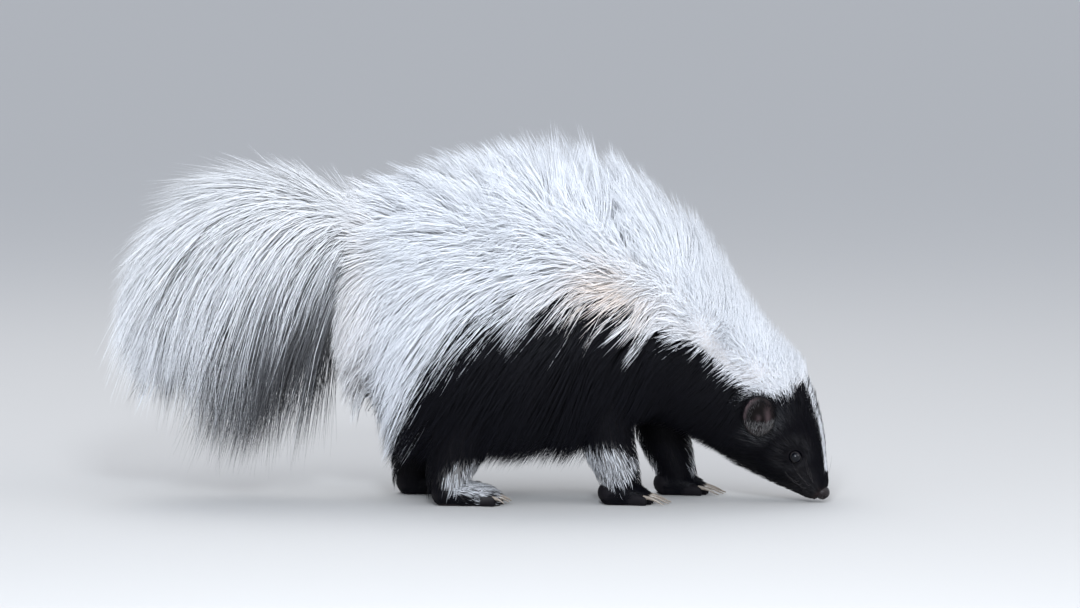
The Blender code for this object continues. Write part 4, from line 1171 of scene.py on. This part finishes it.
def trunk_coat(region, name, count, span, width, form, clump, rng):
    """The long coat of the back, flanks and belly, or of the neck."""
    t, a = Region(region.name, TRUNK_LOFT, span, region.cell).scatter(count, rng, trunk_density)
    clear = ear_distance(TRUNK_LOFT.point(t, a, 0.4)) > 1.12
    t, a = t[clear], a[clear]
    spots = lay_of(t, a)
    hem = bell(mantle(spots) / 0.016) * (1 - step_up(t, 7.0, 8.0))
    root, middle, tip, facing, wisp = trunk_lie(t, a, hem, clump, rng)
    marks = trunk_marks(t, a, root, tip, spots, hem, wisp, rng)
    width = width * rng.uniform(0.7, 1.3, len(t))
    fields = (root - facing * 0.0012, middle, tip, facing, width, region.unwrapped(t, a))
    split_tufts(name, form, fields, marks, rng)


def head_marks(back, degrees, inside, eye_gap, wisp, rng):
    """White, grizzled or black fur of the head, with its tone and warmth."""
    count = len(back)
    ragged = wisp * 0.0004 + rng.normal(0, 1, count) * 0.0003
    ragged = ragged * (1 + 2.5 * step_up(back, 0.058, 0.066))
    muzzle = step_down(back, 0.014, 0.030) * step_up(degrees, 40, 80)
    brow = bell((eye_gap - 0.0095) / 0.0035)
    grizzle = 0.22 * bell((back - 0.0560) / 0.0060, (degrees - 84) / 24)
    grizzle = np.maximum(grizzle, 0.035 * np.maximum(muzzle, brow)) * rng.random(count) ** 1.5
    return {
        "white": np.maximum((inside + ragged > 0).astype(float), grizzle),
        "tone_and_painted_light": np.clip(rng.random(count) * (0.8 + 0.2 * muzzle) + 0.25 * muzzle + 0.18 * brow, 0, 1),
        "warm": 0.04 * rng.random(count),
    }


def head_fur(region, count, rng):
    """Short fur of the face, longer on the cheeks, and the thick white cap."""
    t, a = region.scatter(count, rng, lambda t, a: 1.0 + 2.2 * step_up(t, 2.5, 6.0))
    root = HEAD_LOFT.point(t, a)
    eye_gap = np.minimum(*(np.linalg.norm(root - eye_centre(side), axis=1) for side in (1, -1)))
    lip_gap = np.full(count, 1.0)
    front = head_back(t) < 0.034
    _, lip_gap[front] = nearest(root[front], np.vstack([mouth_line(side) for side in (1, -1)]))
    keep = (eye_gap > EYE_RADIUS * 1.12) & (lip_gap > 0.0009)
    keep &= (head_back(t) > 0.0034) & (ear_distance(root) > 0.90)
    t, a, root, eye_gap, lip_gap = (values[keep] for values in (t, a, root, eye_gap, lip_gap))

    count, back, degrees = len(t), head_back(t), flat_angle(a)
    inside = head_white(t, a)
    cap = step_up(inside, -0.001, 0.003) * step_up(back, 0.060, 0.066)
    beside = step_up(degrees, 30, 65)
    long = 0.0030 + 0.0040 * step_up(back, 0.012, 0.040) + 0.0060 * step_up(back, 0.045, 0.075)
    long *= 1 + 0.6 * step_up(degrees, 90, 150) * step_up(back, 0.03, 0.05)
    long = (long * rng.uniform(0.8, 1.2, count) + 0.004 * cap) * (1 - 0.40 * beside * cap)
    near_eye = step_up(eye_gap, EYE_RADIUS * 1.2, EYE_RADIUS * 2.6)
    long *= (0.45 + 0.55 * near_eye) * (0.40 + 0.60 * step_up(lip_gap, 0.0005, 0.0050))
    share = rng.uniform(0.55, 1.1, count) * (1 + 0.30 * cap)
    turned = a + np.sign(np.sin(a)) * (0.10 + (0.15 + 0.20 * beside) * cap) * rng.uniform(0, 1, count)
    turned += rng.normal(0, 0.04, count) * (1 + 2 * cap)
    behind = t - long * (1 - 0.35 * cap * rng.uniform(0, 2, count)) / HEAD_LOFT.row_length(t)
    tip = HEAD_LOFT.point(behind, turned, share)
    tip, wisp = gathered(tip, root, count // 9, rng.uniform(0.1, 0.5, count), rng)
    out = HEAD_LOFT.directions(t, a)[0]
    middle = bent(root, tip, out, 0.0004, 0.38)
    marks = head_marks(back, degrees, inside, eye_gap, wisp, rng)
    width = (0.00034 + 0.00022 * step_up(back, 0.03, 0.07)) * rng.uniform(0.8, 1.25, count)
    fields = (root - out * 0.0006, middle, tip, out, width, region.unwrapped(t, a))
    split_tufts("coat_head", SHORT, fields, marks, rng)


def limb_fur(region, count, rng, paw):
    """Short fur that lies down the legs and over the feet."""
    t, a = region.scatter(count, rng)
    root = region.loft.point(t, a)
    keep = root[:, 2] > (0.0010 if paw else 0.006)
    t, a, root = t[keep], a[keep], root[keep]
    count = len(t)
    depth = PAW_FUR if paw else LEG_FUR
    long = (0.0052 if paw else 0.0105) * rng.uniform(0.7, 1.2, count)
    share = rng.uniform(0.5, 1.1, count)
    out, behind = region.loft.directions(t, a)
    if paw:
        lie = unit(np.array((1.0, 0.0, -0.25)) - behind * 0.6 + rng.normal(0, 0.12, (count, 3)))
        tip = root + lie * long[:, None] + out * (share * depth * 1.2)[:, None]
    else:
        tip = region.loft.point(t + long / region.loft.row_length(t), a + rng.normal(0, 0.06, count), share)
    tip[:, 2] = np.maximum(tip[:, 2], 0.0004)
    tip, wisp = gathered(tip, root, max(2, count // 14), rng.uniform(0.1, 0.6, count), rng)
    middle = bent(root, tip, out, depth * 0.2, 0.35)
    inside = leg_white(root) + wisp * 0.0014 + rng.normal(0, 1, count) * 0.0012
    marks = {
        "white": np.where(inside > 0, rng.uniform(0.15, 0.95, count), 0.0),
        # Painted shade: the pale patches on the legs are kept dull and bluish.
        "tone_and_painted_light": 0.3 * rng.random(count),
        "warm": 0.03 * rng.random(count),
    }
    width = (0.00044 if paw else 0.00060) * rng.uniform(0.8, 1.25, count)
    fields = (root - out * 0.0005, middle, tip, out, width, region.unwrapped(t, a))
    tufts(f"coat_{region.name}", SHORT, fields, marks, rng)


def tail_density(t, angle):
    """The plume grows thicker after its root and on top, and has a thick lock under its root."""
    below = 0.9 * step_down(t, 1.4, 2.4) * step_down(np.cos(angle), -0.6, -0.1)
    return (1.0 + 1.2 * step_up(t, 1.0, 3.5)) * (0.80 + 0.20 * np.cos(angle)) + below


def tail_lie(t, a, rng):
    """Root, middle, tip and facing of the plume's tufts, and a random number for each wisp."""
    loft, count, degrees = TAIL_LOFT, len(t), flat_angle(a)
    root = loft.point(t, a)
    long = np.interp(t, TAIL_PLACES, TAIL_LENGTHS) * (0.45 + 0.6 * rng.random(count) ** 0.5)
    long *= 1 - 0.12 * step_down(degrees, 20, 60)
    long *= 1 + 0.05 * tail_root(t) * bell((degrees - 78) / 26)
    long *= 1 + 0.62 * tail_root(t) * step_up(degrees, 98, 130)
    ahead = t + long * around(a, 0.70, 0.22, 0.05) * rng.uniform(0.8, 1.2, count) / loft.row_length(t)
    fall = long * around(a, 0.03, 0.84, 0.92) * rng.uniform(0.85, 1.1, count)
    slant = around(a, -0.60, -0.34, -0.22) + rng.normal(0, 0.07, count) + smooth_noise(root, 0.022, 21) * 0.10
    hang = unit(np.stack((slant, rng.normal(0, 0.07, count), np.full(count, -1.0)), -1)) * fall[:, None]
    lift = np.interp(t, (0.8, 2.0, 4.0, 6.0), (1.25, 1.50, 1.40, 1.05))
    share = around(a, lift, 1.1, 0.7) * rng.uniform(0.55, 1.02, count)
    tip = loft.point(np.minimum(ahead, 8.4), a + rng.normal(0, 0.16, count), share) + hang
    tip[:, 2] = np.maximum(tip[:, 2], 0.012 + 0.03 * rng.random(count))
    tip[:, 0] = np.maximum(tip[:, 0], CAD_BOX[0][0] - TAIL_PAST_BOX + 0.006 * rng.random(count))
    out, back = loft.directions(t, a)
    tip, wisp = gathered(tip, root, count // 16, rng.uniform(0.15, 0.75, count), rng)
    tip += out * (np.abs(wisp) * 0.005 * step_down(degrees, 30, 80))[:, None]
    bulge = long * around(a, 0.17, 0.24, 0.08) * rng.uniform(0.7, 1.2, count)
    middle = root - back * (long * around(a, 0.34, 0.26, 0.10))[:, None] + out * bulge[:, None]
    return root, middle, tip, out, wisp


def tail_root(t):
    """1 where the tail leaves the rump, 0 from the top of its arch on."""
    return step_down(t, 1.6, 2.8)


def tail_marks(t, a, wisp, rng):
    """Mixed white and black of the plume, how dull or bright each tuft is, with painted light over the plume
    and painted shade on its sides, its warmth and the shade of its roots.
    """
    count, degrees = len(t), flat_angle(a)
    share = 0.5 + tail_white(t, a) / 0.02 + (0.04 + 0.24 * step_up(degrees, 45, 85)) * wisp
    share -= 0.70 * step_down(t, 1.5, 2.3) * step_up(degrees, 100, 118) * (0.6 + 0.4 * step_up(t, 0.95, 1.45))
    share += 0.32 * step_up(t, 1.3, 2.1) * step_up(degrees, 60, 90)
    share += 0.34 * tail_root(t) * bell((degrees - 80) / 26)
    white = np.where(rng.random(count) < share, rng.uniform(0.85, 1.0, count), rng.uniform(0.0, 0.20, count))
    root_dark = (0.75 - 0.45 * step_up(t, 1.6, 2.4)) * step_up(degrees, 55, 85) * rng.random(count)
    root_dark *= 1 - tail_root(t) * step_up(degrees, 90, 105)
    root_pale = tail_root(t) * step_up(degrees, 96, 112) * rng.uniform(0.8, 1.9, count)
    return {
        "white": white,
        # Painted light: the plume is brightened; painted shade: its sides and underside are duller and bluer.
        "tone_and_painted_light": np.clip(rng.random(count) + 0.35 - 0.50 * step_up(degrees, 60, 100), 0, 1),
        "warm": 0.05 * rng.random(count),
        "shade": np.where(white < 0.5, -root_pale, root_dark),
    }


def tail_hair(region, count, rng):
    """The plume: long hair that follows the top of the tail, spreads from its sides and hangs."""
    t, a = region.scatter(count, rng, tail_density)
    root, middle, tip, out, wisp = tail_lie(t, a, rng)
    marks = tail_marks(t, a, wisp, rng)
    width = 0.00072 * rng.uniform(0.7, 1.3, count)
    fields = (root - out * 0.001, middle, tip, out, width, region.unwrapped(t, a))
    split_tufts("coat_tail", PLUME, fields, marks, rng)


def ear_fur(skin, side, region, count, rng):
    """Black fur over an ear, short hair on its rim, and greyish hair low in its cup."""
    axes = ear_axes(side)
    within = count // 2
    outside = count - within
    co = positions(skin.data)
    tall, front, face = ear_local(co, side)
    low = (np.hypot(tall, front) < 0.95) & (face > -0.75) & (face < 1.3) & (tall < -0.22)
    spots = rng.choice(np.nonzero(low)[0], within)
    turn = rng.uniform(0, 2 * np.pi, outside)
    behind = rng.random(outside) < 0.6
    high = np.where(behind, rng.uniform(-0.9, 0.50, outside), rng.uniform(0.5, 0.84, outside))
    ring = np.sqrt(1 - high**2)
    outer = np.stack((np.cos(turn) * ring, np.sin(turn) * ring, high), -1)
    cup = np.arange(count) >= outside
    inner = co[spots] + rng.normal(0, 0.0004, (within, 3))
    root = np.vstack((ear_centre(side) + (outer * EAR_HALF) @ axes, inner))
    out = np.vstack((unit((outer / EAR_HALF) @ axes), np.tile(axes[2], (within, 1))))
    rim = np.append(high > 0.5, np.zeros(within, bool))
    along = np.where(cup[:, None], axes[0] * 0.85 + axes[2] * 0.55, axes[0] * 0.9 + out * 0.25)
    along = unit(along + rng.normal(0, 0.16, (count, 3)))
    long = np.where(rim, rng.uniform(0.0012, 0.0024, count), rng.uniform(0.0030, 0.0060, count))
    tip = root + along * long[:, None]
    middle = root + (tip - root) * 0.5 + out * 0.0005
    rear = rim & (np.append(np.sin(turn), np.zeros(within)) * ear_ahead(side) < 0)
    pale = np.where(cup, 0.30 * rng.random(count) ** 1.6, np.where(rear, rng.uniform(0.0, 0.10, count), 0.0))
    marks = {"white": pale, "tone_and_painted_light": rng.uniform(0.3, 1.0, count), "warm": np.where(cup | rim, 0.3, 0.0)}
    width = 0.00028 * rng.uniform(0.8, 1.2, count)
    patch = region.unwrapped(np.append(high, rng.uniform(-0.5, 0.5, within)), np.append(turn, spots * 0.01))
    tufts(f"coat_{region.name}", SHORT, (root, middle, tip, out, width, patch), marks, rng)


def plain_piece(name, parts, material):
    """A closed piece of one finish."""
    made = mesh_piece(name, *joined(parts))
    fix_normals(made)
    made.data.materials.append(material)
    return made


def make_eye(side, name):
    """An eyeball with a clear bulge, dark all over as a skunk's is."""
    forward, upward, right = head_axes()
    centre = eye_centre(side)
    outward = unit(right * side * 0.90 + forward * 0.36 + upward * 0.25)
    across = unit(forward - outward * forward.dot(outward))
    axes = (outward, across, np.cross(outward, across))
    points, faces = ball(centre, axes, (EYE_RADIUS,) * 3, 48, 32)
    local = (points - centre) @ outward / EYE_RADIUS
    points = points + outward * (0.0006 * step_up(local, 0.55, 1.0))[:, None]
    eye = plain_piece(name.replace("eye", "eyeball"), [(points, faces)], EYE_FINISH)
    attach(eye, "root")
    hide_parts(name)
    lids = plain_piece(name.replace("eye", "lids"), [lid_shell(centre, axes)], LID_FINISH)
    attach(lids, "root")


def lid_shell(centre, axes):
    """Both lids as one closed skin round an almond opening, sunk at its outer edge into the face."""
    a = np.linspace(0, 2 * np.pi, 48, endpoint=False)
    opening = np.hypot(np.radians(54) * np.abs(np.cos(a)), np.radians(34) * np.abs(np.sin(a)) ** 1.4)
    grid = []
    for beyond, reach in LID_RINGS:
        bend = opening + beyond
        way = np.outer(np.cos(bend), axes[0])
        way += np.outer(np.sin(bend) * np.cos(a), axes[1]) + np.outer(np.sin(bend) * np.sin(a), axes[2])
        grid.append(centre + way * EYE_RADIUS * reach)
    return np.vstack(grid), ring_faces(len(LID_RINGS), len(a), wrap=True)


def make_nose():
    """The nose pad with its nostrils, the slits beside them and the groove between."""
    forward, upward, right = head_axes()
    centre = head_place(0.0030, 0.0022, 0)
    radii = np.array((PAD_LENGTH / 2, PAD_WIDTH / 2, PAD_HEIGHT / 2))
    axes = np.array((forward, right, upward))
    points, faces = ball(centre, axes, radii, 96, 64)
    ahead, beside, above = ((points - centre) @ axes.T / radii).T
    face = step_up(ahead, 0.0, 0.4)
    for side in (1, -1):
        far = np.hypot((beside - side * 0.50) / 0.24, (above - 0.02) / 0.30)
        slit = np.hypot((beside - side * 0.80) / 0.30, (above + 0.12) / 0.12)
        depth = np.maximum(np.exp(-(far**2) * 1.2) * 0.0024, bell(slit) * 0.0010)
        points = points - forward * (depth * face)[:, None]
    groove = bell(beside / 0.10) * step_down(above, -0.1, 0.35) * 0.0007
    points = points - forward * (groove * face)[:, None]
    nose = plain_piece("nose_pad", [(points, faces)], NOSE_FINISH)
    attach(nose, "root")
    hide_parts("nose")


def make_claws():
    """Claws of all the toes as one piece."""
    parts = []
    for _, _, side, _, sizes, x, track, heel in LIMBS:
        for root, heading, reach in toe_plan(sizes, x + heel, track * side, -side):
            start = root + heading * reach * 0.80 + np.array((0, 0, TOE_RADIUS * 0.45))
            rows = []
            for g in np.linspace(0, 1, 7):
                spot = start + heading * sizes["claw"] * g - np.array((0, 0, sizes["droop"])) * g * g * 0.9
                thick = CLAW_RADIUS * (1 - g) + CLAW_TIP * g
                spot[2] = max(spot[2], 0.0007 + thick)
                rows.append((*spot, thick * 1.15, thick, thick * 0.75, 0, 0, 0))
            parts.append(loft_tube(Loft(rows, (0, -1, 0)), 0, 6, 14, 12))
    claws = plain_piece("claws", parts, CLAW_FINISH)
    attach(claws, "root")


def make_whiskers(rng):
    """Three rows of three whiskers on each side of the muzzle."""
    forward, upward, _ = head_axes()
    g = np.linspace(0, 1, 7)[:, None]
    a = np.linspace(0, 2 * np.pi, 5, endpoint=False)[None, :, None]
    parts = []
    for side in (1, -1):
        for k in range(9):
            t = head_row(0.011 + 0.0035 * (k % 3) + rng.uniform(0, 0.001))
            angle = np.array(math.radians(72 + 16 * (k // 3)) * side)
            root = HEAD_LOFT.point(t, angle)
            out, lie = HEAD_LOFT.directions(t, angle)
            long = rng.uniform(0.014, 0.024)
            tip = root + unit(out * 0.75 + lie * 0.85 + upward * 0.25) * long
            line = curve(root, root + out * long * 0.45 + lie * long * 0.1, tip, g)
            line[:, 2] = np.maximum(line[:, 2], 0.001)
            thick = WHISKER_RADIUS * (1 - 0.75 * g)[:, None]
            parts.append(tube(line[:, None] + (np.cos(a) * upward + np.sin(a) * forward) * thick))
    whiskers = plain_piece("whiskers", parts, WHISKER_FINISH)
    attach(whiskers, "root")


def make_stage(centre_x):
    """A grey floor, a pale sky and four lamps."""
    bpy.ops.mesh.primitive_circle_add(vertices=96, radius=40.0, fill_type="NGON", location=(0, 0, -0.0002))
    floor = bpy.context.object
    floor.name = "floor"
    finish = Shading(bpy.data.materials.new("floor"))
    floor.data.materials.append(finish.finish(Base_Color=(0.54, 0.53, 0.52), Roughness=0.8))
    sky = Shading(bpy.data.worlds.new("world"))
    bpy.context.scene.world = sky.owner
    split = sky.nodes.new("ShaderNodeSeparateXYZ")
    sky.fill(split.inputs[0], sky.nodes.new("ShaderNodeTexCoord").outputs["Generated"])
    rise = sky.spread(split.outputs["Z"], 0.0, 0.55, 0.0, 1.0)
    sky.fill(sky.nodes["Background"].inputs[0], sky.mix(rise, (0.49, 0.50, 0.52), (0.77, 0.83, 0.93)))
    bpy.context.scene.view_settings.view_transform = "Standard"
    for name, x, y, z, size, power, colour in LAMPS:
        light = bpy.data.lights.new(name, "AREA")
        light.size, light.energy, light.color = size, power, colour
        lamp = bpy.data.objects.new(name, light)
        bpy.context.scene.collection.objects.link(lamp)
        lamp.location = (centre_x + x, y, z)
        way = Vector((centre_x, 0, 0.12)) - Vector((centre_x + x, y, z))
        lamp.rotation_euler = way.to_track_quat("-Z", "Y").to_euler()


def make_camera(centre_x):
    """The photo's view: from the animal's right side, a little above the ground, from far off."""
    data = bpy.data.cameras.new("camera")
    data.sensor_width = 36.0
    data.lens = 18.0 / (VIEW_WIDTH / 2 / VIEW_DISTANCE)
    camera = bpy.data.objects.new("camera", data)
    bpy.context.scene.collection.objects.link(camera)
    back = Vector((0.0, -math.cos(VIEW_RISE), math.sin(VIEW_RISE)))
    camera.location = Vector((centre_x, 0.0, VIEW_Z)) + back * VIEW_DISTANCE
    camera.rotation_euler = (-back).to_track_quat("-Z", "Y").to_euler()
    bpy.context.scene.camera = camera


def shifted(rows):
    """Rows that start with x and y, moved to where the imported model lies."""
    return [(row[0] + SHIFT[0], row[1] + SHIFT[1], *row[2:]) for row in rows]


# The tables above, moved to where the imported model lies.
SHIFT = find_shift()
NOSE_TIP = NOSE_TIP + SHIFT
MANTLE_EDGE = [(x + SHIFT[0], z) for x, z in MANTLE_EDGE]
LEG_PATCHES = shifted(LEG_PATCHES)
LIMBS = [(*limb[:5], limb[5] + SHIFT[0], *limb[6:]) for limb in LIMBS]
TRUNK_LOFT = Loft(shifted(TRUNK), (0, -1, 0))
TAIL_LOFT = Loft(shifted(TAIL), (0, 1, 0))
HEAD_LOFT = head_loft()
COAT = coat_material()
EYE_FINISH = plain_finish("eye", (0.0015, 0.0015, 0.0025), (0.002, 0.003, 0.007), 0.04, 300.0, 0.0, 0.32)
LID_FINISH = plain_finish("lids", (0.003, 0.0025, 0.003), (0.011, 0.008, 0.009), 0.50, 500.0, 0.3, 0.25)
NOSE_FINISH = plain_finish("nose", (0.005, 0.0035, 0.004), (0.017, 0.011, 0.012), 0.36, 700.0, 0.6, 0.3)
CLAW_FINISH = plain_finish("claw", (0.16, 0.13, 0.11), (0.34, 0.29, 0.24), 0.30, 300.0, 0.2)
WHISKER_FINISH = plain_finish("whisker", (0.02, 0.02, 0.02), (0.09, 0.08, 0.08), 0.35, 200.0, 0.0)


def main():
    """Builds the skin, its coat and the small pieces, and sets the stage."""
    rng = np.random.default_rng(SEED)
    trunk = Region("trunk", TRUNK_LOFT, (0.0, 10.2), (0.01, 0.01, 0.98, 0.42))
    head = Region("head", HEAD_LOFT, (-0.4, 8.0), (0.01, 0.45, 0.47, 0.28))
    tail = Region("tail", TAIL_LOFT, (0.5, 8.0), (0.51, 0.45, 0.48, 0.16))
    limbs = []
    for k, (leg, paw, side, rows, sizes, x, track, heel) in enumerate(LIMBS):
        y, left = track * side, 0.01 + 0.25 * k
        limbs.append(Region(leg, leg_loft(rows, x, y), (0.0, 4.0), (left, 0.75, 0.22, 0.12)))
        limbs.append(Region(paw, paw_loft(sizes, x + heel, y), (0.0, 4.4), (left, 0.88, 0.22, 0.11)))

    skin = make_skin([trunk, head, tail, *limbs])
    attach(skin, "root")
    flesh = [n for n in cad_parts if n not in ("eye_left", "eye_right", "nose")]
    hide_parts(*flesh)

    for part, low, high, width, form, clump in (
        ("torso", 0.0, NECK_ROW, 0.00068, LONG, 15),
        ("neck", NECK_ROW - 0.1, 10.5, 0.00055, SHORT, 12),
    ):
        trunk_coat(trunk, f"coat_{part}", TUFTS[part], (low, high), width, form, clump, rng)
    head_fur(head, TUFTS["head"], rng)
    tail_hair(tail, TUFTS["tail"], rng)
    for region in limbs:
        paw = "paw" in region.name
        limb_fur(region, TUFTS["paw" if paw else "leg"], rng, paw)
    for side, name, left in ((1, "ear_right", 0.52), (-1, "ear_left", 0.76)):
        ear_fur(skin, side, Region(name, None, (-1.0, 1.0), (left, 0.62, 0.20, 0.11)), TUFTS["ear"], rng)

    make_eye(1, "eye_right")
    make_eye(-1, "eye_left")
    make_nose()
    make_claws()
    make_whiskers(rng)
    make_stage(VIEW_X + SHIFT[0])
    make_camera(VIEW_X + SHIFT[0])


main()
